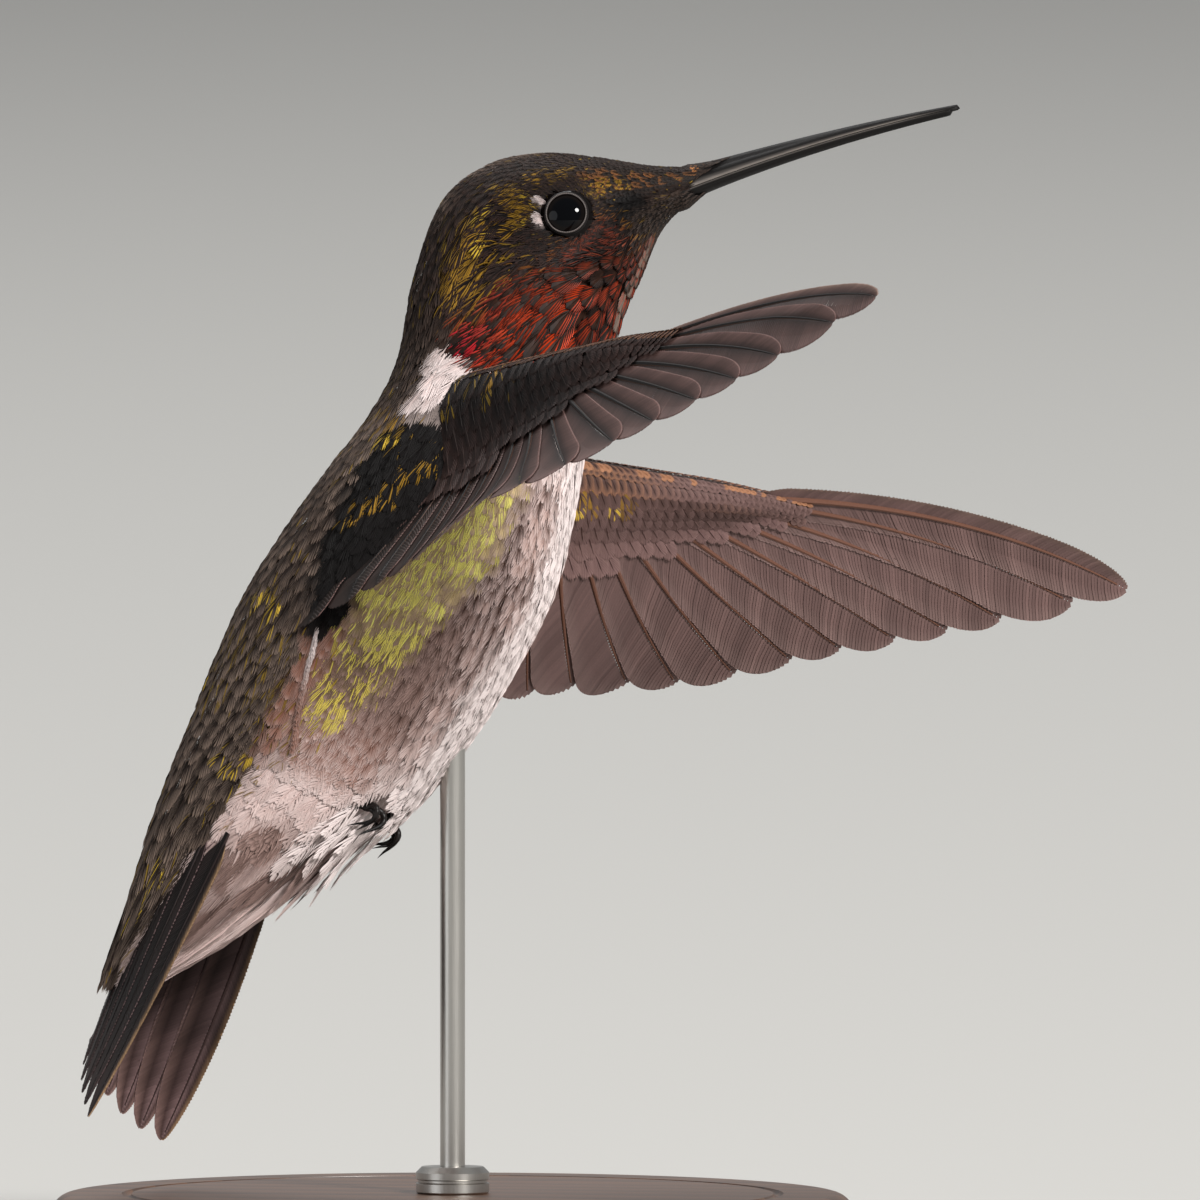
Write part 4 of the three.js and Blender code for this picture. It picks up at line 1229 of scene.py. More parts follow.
    def cover(self, upper: bool) -> Form:
        """The surface that the coverts of one face end on: a quarter ellipse from the leading edge to the
        arm's middle, from there a gentle fall to the flight feathers. The first parameter runs back over it
        from the leading edge, the second out."""
        w = np.linspace(0, 16, 161)
        s = np.linspace(-2, 26, 113)
        middle, half, depth = (v[None] for v in self.arm_profile(s))
        angle = np.minimum(w[:, None] / half, np.pi / 2)
        back = np.maximum(w[:, None] - np.pi / 2 * half, 0)
        c = middle - half * np.cos(angle) + back
        height = depth * np.sin(angle) * (1 - fade(0, 1, back / (self.fall * half)))
        height = height + self.blade * fade(0, 0.5, angle)
        sign = 1.0 if upper else -1.0
        points, normal, _ = self.sheet(np.broadcast_to(s[None], c.shape), c)
        return Form(w, s, points + normal * (sign * height)[..., None], False, sign * self.mirror)

    def coverts(self, upper: bool) -> Feathers:
        """The small feathers of one face of the arm, in rows from the leading edge."""
        rng = seeded(31 + (5 if upper else 0) + (2 if self.mirror < 0 else 0))
        form = self.cover(upper)
        w = np.broadcast_to(form.first[:, None], form.points.shape[:2])
        pitch = np.interp(w, [0, 1.0, 2.4, 6.0, 12.0], [0.44, 0.5, 0.8, 1.0, 1.2])
        pitch = pitch * np.interp(form.second, [0, 20], [1.0, 0.8])[None] * (1.25 if upper else 1.0)
        a, b = form.lattice(pitch, 1.05, rng)
        _, half, _ = self.arm_profile(b)
        kept = (b < self.wrist[1] - 1.5) & (a < (np.pi / 2 + self.fall * 0.82) * half) & (b > -1.6)
        a, b, half = a[kept], b[kept], half[kept]
        own = form.read(pitch, a, b)
        share = a / (half * (np.pi / 2 + self.fall))
        last = fade(0.6, 0.88, share)
        length = own * (2.5 + 0.6 * last) * (1 - 0.4 * fade(8, 22, b)) * (1 + rng.normal(0, 0.03, len(a)))
        out = unit(np.array(self.span)) * [1, self.mirror, 1]
        swept = 0.35 + 1.1 * fade(0, 22, b)
        lie = unit(form.read(form.along, a, b)) + out * swept[:, None] + rng.normal(0, 0.02, (len(a), 3))
        d = Dress.plain(a.shape, self.shadow, self.shadow, 0.0, 0.4)
        luck = rng.random(len(a))
        if upper:
            self.dress_upper(d, a, b, luck)
        else:
            self.dress_under(d, a, b, luck, last)
        uv = paired(self.uv_left + 0.17 * (0.5 * share + (0.5 if upper else 0)), 0.03 + 0.3 * (b + 2) / 28)
        return Feathers(form, a, b, lie, length, own * 0.7, self.skin_depth * (0.6 + 0.3 * last), 0.01, d, uv)

    def dress_upper(self, d: Dress, a: Array, b: Array, luck: Array) -> None:
        """The coverts of the upper face: nearly black, with a few glints by the shoulder."""
        d.lay(Plumage.soot, 1.0, self.shadow)
        d.lay(self.shadow, np.maximum(fade(3.5, 7.5, a), fade(8, 20, b)), self.brown)
        d.shine(Plumage.old_gold, 0.5, band(a, 0.8, 3.2, 0.4) * (luck > 0.86) * (1 - fade(5, 9, b)), 0.5)
        d.shine(Plumage.bronze, 0.3, band(a, 0.8, 4.5, 0.4) * (luck < 0.2) * (1 - fade(5, 11, b)), 0.4)
        d.lay(self.brown, 1 - fade(0.6, 1.2, a), self.cinnamon)

    def dress_under(self, d: Dress, a: Array, b: Array, luck: Array, last: Array) -> None:
        """The coverts of the lower face: two rows of small pale-rimmed scales along the edge, a row of
        glints, and smooth mauve brown behind them."""
        d.lay(self.brown, 1.0, self.rosy_brown)
        d.lay(self.rosy_brown, fade(2.2, 3.4, a), self.covert)
        d.lay(self.covert, last, self.mauve)
        scales = 1 - fade(1.3, 1.9, a)
        d.lay(self.brown, scales, self.cinnamon)
        d.lay(self.rosy_brown, scales * fade(8, 15, b), self.mauve)
        d.lay(self.cinnamon, (1 - fade(0.2, 0.45, a)) * (luck > 0.4))
        glints = band(a, 1.7, 3.4, 0.3) * (1 - fade(8.5, 12, b))
        d.shine(Plumage.old_gold, 0.55, glints * (luck > 0.3), 0.2)
        d.shine(Plumage.gold, 0.5, glints * (luck > 0.8), 0.1)

    def quill(self, a: int, rng: Random) -> Shape:
        """One flight feather, the innermost secondary being 0."""
        count = len(self.tip_spans)
        share = a / (count - 1)
        ends = self.shaft(a, np.array([0.0, 1.0]))
        length = float(np.linalg.norm(ends[1] - ends[0]))

        def place(v: Array, x: Array, h: Array) -> Array:
            """A point at share v along the shaft, x in front of it and h over it."""
            v = np.asarray(v, float)
            line = unit(self.shaft(a, v + 0.01) - self.shaft(a, v - 0.01))
            flat = self.shaft(a, v) - beside(line) * np.asarray(x)[..., None]
            points, normal, _ = self.sheet(flat[..., 0], flat[..., 1])
            return points + normal * (np.asarray(h) + self.tilt * np.asarray(x))[..., None]

        outer = a == count - 1
        lead = (0.7, 1.0) if outer else (0.8, 1.5 - 0.3 * share)
        near, far = self.spacing(a)
        trail = (max(1.2, near), min(far, 4.2))
        make = Quill(place, length, lead, trail, tip=2.0 + 4.0 * share**2, start=0.03, rim=self.rosy_brown,
                     shaft_over=self.shaft_over, shaft_under=self.shaft_under)
        # painted shade: the eight quills nearest the body grow darker towards the innermost, vanes towards
        # dark brown and rims towards the shadow colour
        dusk = 1 - min(a / 8, 1.0)
        vane = blend(np.array(self.brown), np.array(Plumage.dark_brown), dusk)
        make.over = (Plumage.soot, vane, blend(np.array(self.rosy_brown), np.array(self.shadow), dusk))
        make.under = (self.mauve, self.mauve, self.pale)
        if outer:
            make.lead_over = make.lead_under = self.outer_edge
        return make.grown(((a + 0.5) / count, 1 / count), rng)

    def spacing(self, a: int) -> Pair:
        """How far a shaft lies from the next one inwards, near the root and near the tip."""
        if a == 0:
            return 1.2, 2.8
        own, inner = self.shaft(a, np.array([0.15, 0.85])), self.shaft(a - 1, np.linspace(0, 1, 60))
        gaps = np.linalg.norm(own[:, None] - inner[None], axis=-1).min(1)
        return float(gaps[0]), float(gaps[1]) * 0.97 + 0.1

    def quills(self) -> Shape:
        """All the flight feathers."""
        rng = seeded(41 if self.mirror > 0 else 42)
        return Shape.joined([self.quill(a, rng) for a in range(len(self.tip_spans))])


@dataclass
class Quill:
    """One stiff feather of wing or tail: a tapering shaft with closed vanes of parallel barbs.

    A barb starts at share v of the shaft and ends at share e, ahead of it by the vane's width or less near
    the tip: 1 - e is (1 - v)^2 / (1 - v + sweep).
    """

    place: Callable[[Array, Array, Array], Array]
    length: float
    lead: Pair  # width of the leading vane, from root to tip
    trail: Pair
    tip: float = 2.5  # length over which the tip is rounded off
    start: float = 0.05  # share of the shaft without vanes
    pitch: float = 0.25  # between barbs
    sweep: float = 1.05  # how far a barb's end lies ahead of its start, in widths of the vane
    shaft: Pair = (0.26, 0.06)
    stations: int = 3
    over: tuple[Colour, ...] = ((0, 0, 0),) * 3  # near the shaft, in the middle of the vane, at its edge
    under: tuple[Colour, ...] = ((0, 0, 0),) * 3
    shaft_over: Colour = (0, 0, 0)
    shaft_under: Colour = (0, 0, 0)
    lead_over: Colour | None = None
    lead_under: Colour | None = None
    rim: Colour = (0, 0, 0)
    tip_tone: float = 1.0  # how much lighter the tip is than the rest

    def width(self, v: Array, widths: Pair) -> Array:
        """A vane's width at share v: straight, and rounded off like an ellipse before the tip."""
        start = 1 - self.tip / self.length
        rounding = np.sqrt(np.clip(1 - (np.clip(v - start, 0, None) / (1 - start)) ** 2, 0, 1))
        return (widths[0] + (widths[1] - widths[0]) * v) * rounding * (0.35 + 0.65 * fade(0, 0.12, v))

    def vane(self, side: float, uv: Pair, rng: Random) -> Shape:
        """The barbs of one side."""
        widths = self.lead if side > 0 else self.trail
        count = int(self.length * (1 - self.start) / self.pitch)
        v0 = self.start + (0.992 - self.start) * (np.arange(count) + 0.5) / count
        sweep = self.sweep * self.width(0.5, widths) / self.length * rng.normal(1, 0.02, count)
        v1 = 1 - (1 - v0) ** 2 / (1 - v0 + sweep)
        q = np.array([0, 0.06, 0.5, 0.97, 1.0])[None]
        v = v0[:, None] + (v1 - v0)[:, None] * q**1.25
        x = side * self.width(v1, widths)[:, None] * q**0.9 * rng.normal(1, 0.006, (count, 1))
        path = paired(x, v * self.length)
        cross = beside(unit(path[:, 2:] - path[:, :-2]))
        half = np.abs(dot(np.gradient(path[:, 1:-1], axis=0), cross)) * 0.76 + 0.02
        local = strip_points(path, half, half * 0.34, half * 0.16 * side)
        height = local[..., 2] + rng.normal(0, 0.006, (count, 1))
        points = self.place(local[..., 1] / self.length, local[..., 0], height)
        starts = np.arange(count)[:, None, None] * local.shape[1]
        faces = (strip_faces(self.stations) + starts).reshape(-1, 3)
        tone = rng.normal(1, 0.07, (count, 1, 1)) * (1 + 0.1 * np.sin(np.arange(count) * 0.37))[:, None, None]
        tone = tone * (1 + (self.tip_tone - 1) * fade(0.55, 1.0, v0))[:, None, None]
        # painted light and shade on each barb: edges darkened, ridge lightened
        painted_barb_shading = np.concatenate([[1], np.tile([0.58, 0.58, 1.28], self.stations), [1]])[:, None]
        edge = {1: (self.lead_over, self.lead_under)}.get(int(side), (None, None))
        place = np.concatenate([[0], np.repeat([0.1, 0.5, 0.93], 3), [1.0]])
        both = []
        for colours, rim in ((self.over, edge[0]), (self.under, edge[1])):
            near, middle, far = (linear(colour) for colour in (*colours[:2], rim or colours[2]))
            steps = zip(near, middle, middle, far)
            ramp = np.stack([np.interp(place, [0, 0.45, 0.8, 1], step) for step in steps], -1)
            both.append(np.clip(ramp[None] * tone * painted_barb_shading, 0, 1).reshape(-1, 3))
        single = np.array([0, 0, 1] + [0, 0, 0, 0, 1, 1] * (self.stations - 1) + [0, 0, 1], bool)
        under = np.repeat(np.tile(single, count), 3)
        flat = faces.ravel()
        tint = np.where(under[:, None], both[1][flat], both[0][flat])
        return Shape(points.reshape(-1, 3), faces, tint, self.patch(uv, local).reshape(-1, 2)[flat])

    def patch(self, uv: Pair, local: Array) -> Array:
        """The place of the feather's flat points in its strip of the baked picture."""
        across = uv[1] * 0.45 * local[..., 0] / max(self.trail[1], self.lead[1])
        return paired(uv[0] + across, 0.02 + 0.96 * local[..., 1] / self.length)

    def grown(self, uv: Pair, rng: Random) -> Shape:
        """The whole feather.

        Args:
            uv: middle and width of its strip of the baked picture.
            rng: source of the small irregularities.
        """
        v = np.linspace(0, 0.97, 26)
        angle = full_turn(8)
        radius = np.interp(v, [0, 1], self.shaft)[:, None]
        across, up = radius * 0.8 * np.cos(angle), radius * np.sin(angle) * 0.9
        rings = self.place(np.broadcast_to(v[:, None], (26, 8)), across, up)
        points, faces = tube_mesh(rings)
        over = np.append(np.tile(np.sin(angle) > 0.1, 26), [True, True])
        tint = np.where(over[:, None], linear(self.shaft_over), linear(self.shaft_under))
        uvs = paired(uv[0], np.append(0.02 + 0.96 * np.repeat(v, 8), [0.02, 0.95]))
        parts = [Shape(points, faces, tint, uvs, 0.1)]
        parts += [self.vane(side, uv, rng) for side in (1.0, -1.0)]
        parts += [self.border(side, uv) for side in (1.0, -1.0)]
        return Shape.joined([part.outward() for part in parts]).outward()

    def border(self, side: float, uv: Pair) -> Shape:
        """The smooth rim where the barbs of one side hook together: a thin strip along the vane's outline."""
        v = np.linspace(self.start + 0.02, 0.993, 42)
        x = side * (self.width(v, self.lead if side > 0 else self.trail) - 0.035)
        sizes = (np.full(40, size) for size in (0.055, 0.03, 0.012))  # half-width, ridge and roll
        local = strip_points(paired(x, v * self.length), *sizes)
        points = self.place(local[:, 1] / self.length, local[:, 0], local[:, 2])
        colour = (self.lead_over if side > 0 else None) or self.rim
        return Shape(points, strip_faces(40), linear(colour), self.patch(uv, local))


# ---- tail


@dataclass
class Tail:
    """The forked tail: a roof of two halves of five feathers each, its ridge along the back."""

    feathers: int = 5
    ridge_root: Triple = (-13.2, 0.1, -18.0)
    ridge_tip: Triple = (-20.1, 0.3, -37.1)
    eave_root: Triple = (4.9, 3.7, -2.2)  # the outer edge, from the ridge
    eave_tip: Triple = (2.9, 8.0, -5.2)
    fork_shape: float = 0.65
    bulge: float = 0.7
    swing: float = math.radians(5)
    turn: float = 0.8
    gap: float = 0.3
    tilt: float = 0.02
    step: float = 0.02  # height of each feather under the one nearer to the ridge
    night: Colour = (0.055, 0.04, 0.038)
    dusk: Colour = (0.10, 0.072, 0.068)
    plum: Colour = (0.20, 0.15, 0.145)
    mauve: Colour = (0.36, 0.29, 0.29)
    olive: Colour = (0.48, 0.38, 0.28)
    pale: Colour = (0.44, 0.35, 0.33)

    def surface(self, side: float, share: Array, v: Array) -> Array:
        """A point of one half: share runs from the ridge to the outer edge and v from root to tip. Root and
        tip are the ridge's plus powers of share times the eave's, and the outer edge bows outwards by a
        parabola."""
        share, v = np.broadcast_arrays(np.asarray(share, float), np.asarray(v, float))
        near = np.clip(share, 1e-4, None)
        steep = near**1.6
        root = self.ridge_root + np.stack([steep, np.sin(np.pi / 2 * share), steep], -1) * self.eave_root
        tip = self.ridge_tip + np.stack([steep, share, near**self.fork_shape], -1) * self.eave_tip
        tip = tip + unit(tip - root) * (-side * self.turn * share**3)[..., None]
        bow = self.bulge * share**2 * 4 * v * (1 - v)
        point = root + (tip - root) * v[..., None] + np.stack([0.6 * bow, bow, 0 * bow], -1)
        point[..., 1] = side * (point[..., 1] + self.gap / 2)
        ridge = np.array(self.ridge_root)
        axis = unit(np.cross(np.array(self.ridge_tip) - ridge, [0.0, 1.0, 0.0]))
        return turned(point - ridge, axis, self.swing) + ridge

    def quill(self, side: float, number: int, rng: Random) -> Shape:
        """One tail feather, number 0 being next to the ridge."""
        at = (number + 0.5) / self.feathers
        ends = self.surface(side, at, np.array([0.22, 1.0]))
        length = float(np.linalg.norm(ends[1] - ends[0]))

        def place(v: Array, x: Array, h: Array) -> Array:
            """A point at share v along the shaft, x outwards and h over it."""
            w = 0.22 + 0.78 * np.asarray(v, float)
            out = (self.surface(side, at + 0.05, w) - self.surface(side, at - 0.05, w)) / 0.1
            rate = np.linalg.norm(out, axis=-1)
            share = at + np.asarray(x) / rate
            point = self.surface(side, share, w)
            along = unit(self.surface(side, at, w + 0.02) - self.surface(side, at, w - 0.02))
            normal = unit(np.cross(unit(out), along))
            normal = normal * np.sign(dot(normal, np.array([-0.94, 0, 0.34])))[..., None]
            height = np.asarray(h) + self.tilt * np.asarray(x) - self.step * number
            return point + normal * height[..., None]

        outer = number == self.feathers - 1
        make = Quill(
            place, length, (0.6, 1.1 if outer else 1.25), (1.3, 2.7), tip=5.5 + 1.2 * number, start=0.02,
            pitch=0.22, sweep=1.5, shaft=(0.2, 0.04), rim=self.mauve, tip_tone=3.0,
            over=(self.night, self.dusk, self.dusk), under=(self.mauve, self.plum, self.pale),
            shaft_over=self.night, shaft_under=self.plum)
        if outer:
            make.lead_over = make.lead_under = self.olive
        column = number + (0 if side > 0 else self.feathers)
        return make.grown(((column + 0.5) / (2 * self.feathers), 0.5 / self.feathers), rng)

    def half(self, side: float) -> Shape:
        """The feathers of one side."""
        rng = seeded(51 if side > 0 else 52)
        return Shape.joined([self.quill(side, k, rng) for k in range(self.feathers)])


# ---- head


@dataclass
class Eye:
    """One eyeball with its ring of lids."""

    body: Body
    side: float
    radius: float = 1.95
    opening: float = 1.15  # radius of the lids' edge
    ring: float = 1.37  # outer radius of the lids
    beading: int = 72  # beads along the edge of the lids
    lid: Colour = (0.10, 0.08, 0.078)
    lid_edge: Colour = (0.04, 0.034, 0.034)
    beads: Colour = (0.50, 0.465, 0.45)
    # near black with a faint blue, a painted reflection
    pupil: Colour = (0.010, 0.012, 0.020)
    iris: Colour = (0.040, 0.026, 0.022)

    def axes(self) -> tuple[Array, Array, Array, Array]:
        """The eye's centre, its gaze and two directions across it."""
        mirror = np.array([1, self.side, 1])
        gaze = unit(np.array(self.body.eye_gaze) * mirror)
        across = unit(np.cross([0, 0, 1.0], gaze))
        return np.array(self.body.eye_centre) * mirror, gaze, across, np.cross(gaze, across)

    def ball(self) -> Shape:
        """The eyeball, a sphere about the gaze, with a brown iris about the pupil."""
        centre, gaze, across, up = self.axes()
        polar = np.linspace(0.02, np.pi - 0.02, 72)[:, None]
        angle = full_turn(96)[None]
        ring = across * np.cos(angle)[..., None] + up * np.sin(angle)[..., None]
        points = centre + self.radius * (gaze * np.cos(polar)[..., None] + ring * np.sin(polar)[..., None])
        flat, faces = tube_mesh(points)
        out = np.degrees(np.arccos(np.clip(dot(unit(flat - centre), gaze), -1, 1)))
        tint = blend(linear(self.pupil), linear(self.iris), band(out, 27, 60, 2))
        uv = 0.5 + 0.48 * paired(dot(flat - centre, across), dot(flat - centre, up)) / self.radius
        return Shape(flat, faces, tint, uv)

    def lids(self) -> Shape:
        """The ring of bare, grained skin: a rounded profile over the ball, carried round the gaze."""
        centre, gaze, across, up = self.axes()
        o, w = self.opening, self.ring
        hug = math.sqrt(self.radius**2 - o * o)
        profile = np.array([
            (o + 0.10, hug - 0.20), (o - 0.01, hug - 0.03), (o, hug + 0.05), (o + 0.035, hug + 0.085),
            (o + 0.075, hug + 0.07), (o + 0.11, hug + 0.02), (o + 0.15, hug - 0.03), (o + 0.18, hug - 0.09),
            (w - 0.03, hug - 0.20), (w, hug - 0.38), (w + 0.05, hug - 0.75), (w - 0.2, hug - 0.8),
        ])
        angle = full_turn(4 * self.beading)
        grain = Patches(61 + int(self.side > 0))
        turns = angle[None] * self.beading / TURN / 2.6
        rise = (grain(np.arange(len(profile))[:, None] * 0.9, turns) - 0.5) * 0.05
        away = profile[:, :1] - o
        edging = np.exp(-(((away - 0.045) / 0.035) ** 2)) * (profile[:, 1:] > hug)
        beads = np.abs(np.sin(self.beading / 2 * angle))[None]
        rise = rise + 0.03 * edging * beads
        rise[[0, -1]] = 0
        out = profile[:, :1] + rise * 0.4
        lift = profile[:, 1:] + rise
        ring = across * np.cos(angle)[:, None] + up * np.sin(angle)[:, None]
        points = centre + out[..., None] * ring[None] + lift[..., None] * gaze
        around = np.concatenate([points, points[:1]])
        faces = halved(grid_faces(len(around), len(angle), closed=True) % (len(profile) * len(angle)))
        tint = blend(linear(self.lid_edge), linear(self.lid), fade(0.1, 0.2, away))
        tint = blend(tint, linear(self.beads), edging * (0.3 + 0.7 * beads))
        u, v = (0.08 * wave(angle) * out / w for wave in (np.cos, np.sin))
        uv = paired(0.9 + u, (0.9 if self.side > 0 else 0.7) + v)
        flat = points.reshape(-1, 3)
        shape = Shape(flat, faces, np.clip(tint, 0, 1).reshape(-1, 3), uv.reshape(-1, 2))
        inner = points.mean((0, 1))
        if volume(flat - inner, faces) < 0:
            shape.faces = faces[:, ::-1]
        return shape


@dataclass
class Bill:
    """The long straight bill, an upper and a lower half along one faintly bowed line."""

    root: Triple = (13.6, 0.0, 16.32)
    tip: Triple = (29.9, 0.0, 21.1)
    droop: float = 0.6  # rise of the middle over the straight line
    depth: Pair = (2.1, 0.55)
    width: Pair = (1.9, 0.55)
    seam: float = 0.61  # how far the halves part under the middle at the root, in half depths
    gap: float = 0.06
    black: Colour = (0.05, 0.04, 0.037)
    # colour of the painted highlight along the tomium
    edge: Colour = (0.54, 0.51, 0.485)

    def section(self, share: Array) -> tuple[Array, Array, Array]:
        """The middle of the bill's section at a share of its length, and its half depth and half width."""
        root, tip = np.array(self.root), np.array(self.tip)
        middle = (root + tip) / 2 + [0, 0, self.droop]
        line = root * (1 - share) ** 2 + 2 * middle * share * (1 - share) + tip * share**2
        thin = np.clip(share, 0, None) ** 0.6
        depth = (self.depth[0] + (self.depth[1] - self.depth[0]) * thin) / 2
        width = (self.width[0] + (self.width[1] - self.width[0]) * thin) / 2
        return line, depth, width

    def half(self, sign: float) -> Shape:
        """One half of the bill.

        Sections follow a quadratic curve from root to tip. Each is half an ellipse with a ridge on top, its
        width and depth shrinking with a power of the way, and a groove along the side that runs out by
        mid-bill.
        """
        reach = 1.0 if sign > 0 else 0.975
        share = np.linspace(0, 1, 90)[:, None] * reach
        line, depth, width = self.section(share)
        close = np.sqrt(np.clip(1 - ((share / reach - 0.985) / 0.015).clip(0) ** 2, 0.02, 1))
        lowered = self.seam * (1 - fade(0, 1.2, share)) * depth * close
        depth, width = depth * close + sign * lowered, width * close
        angle = np.linspace(0, np.pi, 21)[None]
        low = np.minimum(angle, np.pi - angle)  # over the seam
        groove = 1 - 0.10 * np.exp(-(((low - 0.75) / 0.22) ** 2)) * (1 - fade(0.25, 0.6, share))
        ridge = 1 + 0.06 * np.exp(-(((angle - np.pi / 2) / 0.25) ** 2))
        y = width * np.cos(angle) * groove
        z = sign * (self.gap / 2 + (depth - self.gap / 2) * np.sin(angle) * groove * ridge)
        under = np.linspace(-1, 1, 9)[None, 1:-1]
        y = np.concatenate([y, width * under], 1)
        z = np.concatenate([z, sign * self.gap / 2 + sign * 0.12 * depth * (1 - under**2)], 1)
        rings = line[:, None] + np.stack([0 * y, y, z - lowered], -1)
        points, faces = tube_mesh(rings)
        # painted highlight: a pale line along the tomium, brighter on the upper half, gone by the tip
        tomium_highlight = np.concatenate([np.exp(-((low / 0.13) ** 2)), np.ones((1, 7))], 1)
        pale = tomium_highlight * (0.5 if sign < 0 else 0.9) * (1 - fade(0.75, 1.0, share))
        tint = blend(linear(self.black), linear(self.edge), pale).reshape(-1, 3)
        tint = np.concatenate([tint, [linear(self.black)] * 2])
        around = np.linspace(0, 1, rings.shape[1], endpoint=False)
        uv = paired(0.02 + 0.96 * share, 0.25 + 0.2 * around + 0.25 * sign).reshape(-1, 2)
        return Shape(points, faces, tint, np.concatenate([uv, [[0.02, 0.3], [0.98, 0.3]]]))


@dataclass
class Skin:
    """The bird's skin under its coat: body, arms and lids as one closed mesh."""

    body: Body
    plumage: Plumage
    rows: int = 170
    columns: int = 96

    def trunk(self) -> Shape:
        """The body's surface, lowered by the coat's depth, with the coat's own markings and painted shade."""
        t = np.linspace(0, 17, self.rows)[:, None]
        angle = full_turn(self.columns)[None]
        form = self.body.form
        depth = self.body.coat_depth(t, from_back(angle)) + 0.05
        rings = form.read(form.points, t, angle) - form.read(form.normals, t, angle) * depth[..., None]
        points, faces = tube_mesh(rings)
        dress = self.plumage.dress(t, angle)
        tint = np.concatenate([dress.inner.reshape(-1, 3), dress.inner[0, :1], dress.inner[-1, :1]])
        uv = Body.unwrap(t, angle).reshape(-1, 2)
        uv = np.concatenate([uv, [[0.32, 0.0], [0.32, 1.0]]])
        corner = uv[faces]
        wraps = (corner[..., 0].max(1) - corner[..., 0].min(1) > 0.3)[:, None] & (corner[..., 0] < 0.3)
        corner[..., 0] += 0.6 * wraps
        return Shape(points, faces, tint[faces.ravel()], corner.reshape(-1, 2))

    def piece(self, wings: list[Wing], eyes: list[Eye]) -> Piece:
        """Joins the arms to the body, opens the eye sockets and adds the lids."""
        skin = self.trunk().mesh("skin", smooth=True)
        tools = [(wing.arm_skin().outward().mesh(f"arm_{wing.name}"), "UNION") for wing in wings]
        for eye in eyes:
            socket = eye.ball()
            centre = eye.axes()[0]
            socket.points = centre + (socket.points - centre) * 1.02
            tools.append((socket.mesh("socket"), "DIFFERENCE"))
        for tool, operation in tools:
            cutter = skin.modifiers.new("join", "BOOLEAN")
            cutter.operation, cutter.object, cutter.solver = operation, tool, "EXACT"
        graph = bpy.context.evaluated_depsgraph_get()
        mesh = bpy.data.meshes.new_from_object(skin.evaluated_get(graph))
        skin.modifiers.clear()
        skin.data = mesh
        for tool, _ in tools:
            bpy.data.objects.remove(tool)
        lids = Shape.joined([eye.lids() for eye in eyes]).mesh("lids", smooth=True)
        with bpy.context.temp_override(active_object=skin, selected_editable_objects=[skin, lids]):
            bpy.ops.object.join()
        skin.name = "skin"
        mesh.polygons.foreach_set("use_smooth", np.ones(len(skin.data.polygons), bool))
        return skin


# ---- feet


@dataclass
class Foot:
    """A tucked foot: a shank with scutes, and four clenched toes with claws."""

    ankle: Triple = (-2.8, 2.1, -20.2)
    foot: Triple = (-3.0, 2.5, -23.1)
    tarsus: float = 0.28
    toe: float = 0.19
    scutes: int = 9  # rings of them on a shank or toe
    toes: tuple[tuple[float, tuple[Pair, ...]], ...] = (  # turn, then steps forward and up; the claw last
        (-30, ((0, 0), (0.45, 0.05), (0.95, -0.15), (1.15, -0.55), (0.95, -0.95), (0.5, -1.25), (0, -1.5),
               (-0.42, -1.78))),
        (0, ((0, 0), (0.35, -0.1), (0.6, -0.35), (0.6, -0.6), (0.4, -0.8), (0.05, -0.92), (-0.5, -0.98),
             (-1.15, -1.1))),
        (28, ((0, 0), (0.5, 0.1), (0.8, -0.1), (0.85, -0.45), (0.65, -0.75), (0.25, -1.0), (-0.2, -1.15),
              (-0.7, -1.32))),
        (0, ((0, 0), (-0.25, 0.1), (-0.5, 0.15), (-0.7, 0.16), (-0.9, 0.14), (-1.15, 0.06), (-1.4, 0.02),
             (-1.66, 0.1))),
    )
    black: Colour = (0.085, 0.065, 0.06)
    claw: Colour = (0.045, 0.035, 0.033)

    def limb(self, path: Array, radii: Array, sides: int, colours: tuple[Colour, ...], split: float) -> Shape:
        """A tube through points, with rings of scutes, in one colour before the split and another after it.

        Args:
            path: points to pass through, evenly numbered.
            radii: radius at each of them.
            sides: points in a ring.
            colours: before and after the split.
            split: share of the way at which the colour changes.
        """
        share = np.linspace(0, 1, 70)
        line = smooth_curve(path, share * (len(path) - 1))
        radius = smooth_curve(np.asarray(radii), share * (len(path) - 1))
        scale = 1 + 0.10 * np.abs(np.sin(np.pi * self.scutes * share)) * (share < split) - 0.05
        rings = sweep(line, np.maximum(radius * scale, 0.012), sides, np.array([0.12, 1.0, 0.05]))
        points, faces = tube_mesh(rings)
        tone = fade(split - 0.02, split + 0.02, share)
        tint = np.repeat(blend(linear(colours[0]), linear(colours[1]), tone), sides, axis=0)
        tint = np.concatenate([tint, tint[:1], tint[-1:]])
        around = np.append(np.tile(np.linspace(0, 0.1, sides), 70), [0, 0])
        return Shape(points, faces, tint, paired(around, np.append(np.repeat(share, sides), [0, 1])))

    def shape(self, side: float) -> Shape:
        """One foot."""
        foot, ankle = np.array(self.foot), np.array(self.ankle)
        shank = np.stack([ankle, (ankle + foot) / 2, foot])
        radii = self.tarsus * np.array([1.0, 0.95, 1.1])
        parts = [self.limb(shank, radii, 16, (self.black, self.black), 2.0)]
        radii = self.toe * np.array([1.1, 1.0, 1.04, 0.95, 0.85, 0.62, 0.36, 0.05])
        for turn, steps in self.toes:
            heading = turned(np.array([1.0, 0, 0]), np.array([0.0, 0, 1]), math.radians(turn))
            path = np.array([foot + heading * out + [0, 0, up] for out, up in steps])
            parts.append(self.limb(path, radii, 14, (self.black, self.claw), 0.55))
        whole = Shape.joined([p.outward() for p in parts])
        for number in range(len(parts)):
            start, end = (sum(p.faces.size for p in parts[:k]) for k in (number, number + 1))
            whole.uv[start:end, 0] += 0.2 * number
        whole.points = whole.points * [1, side, 1]
        return whole.outward()


# ---- stand


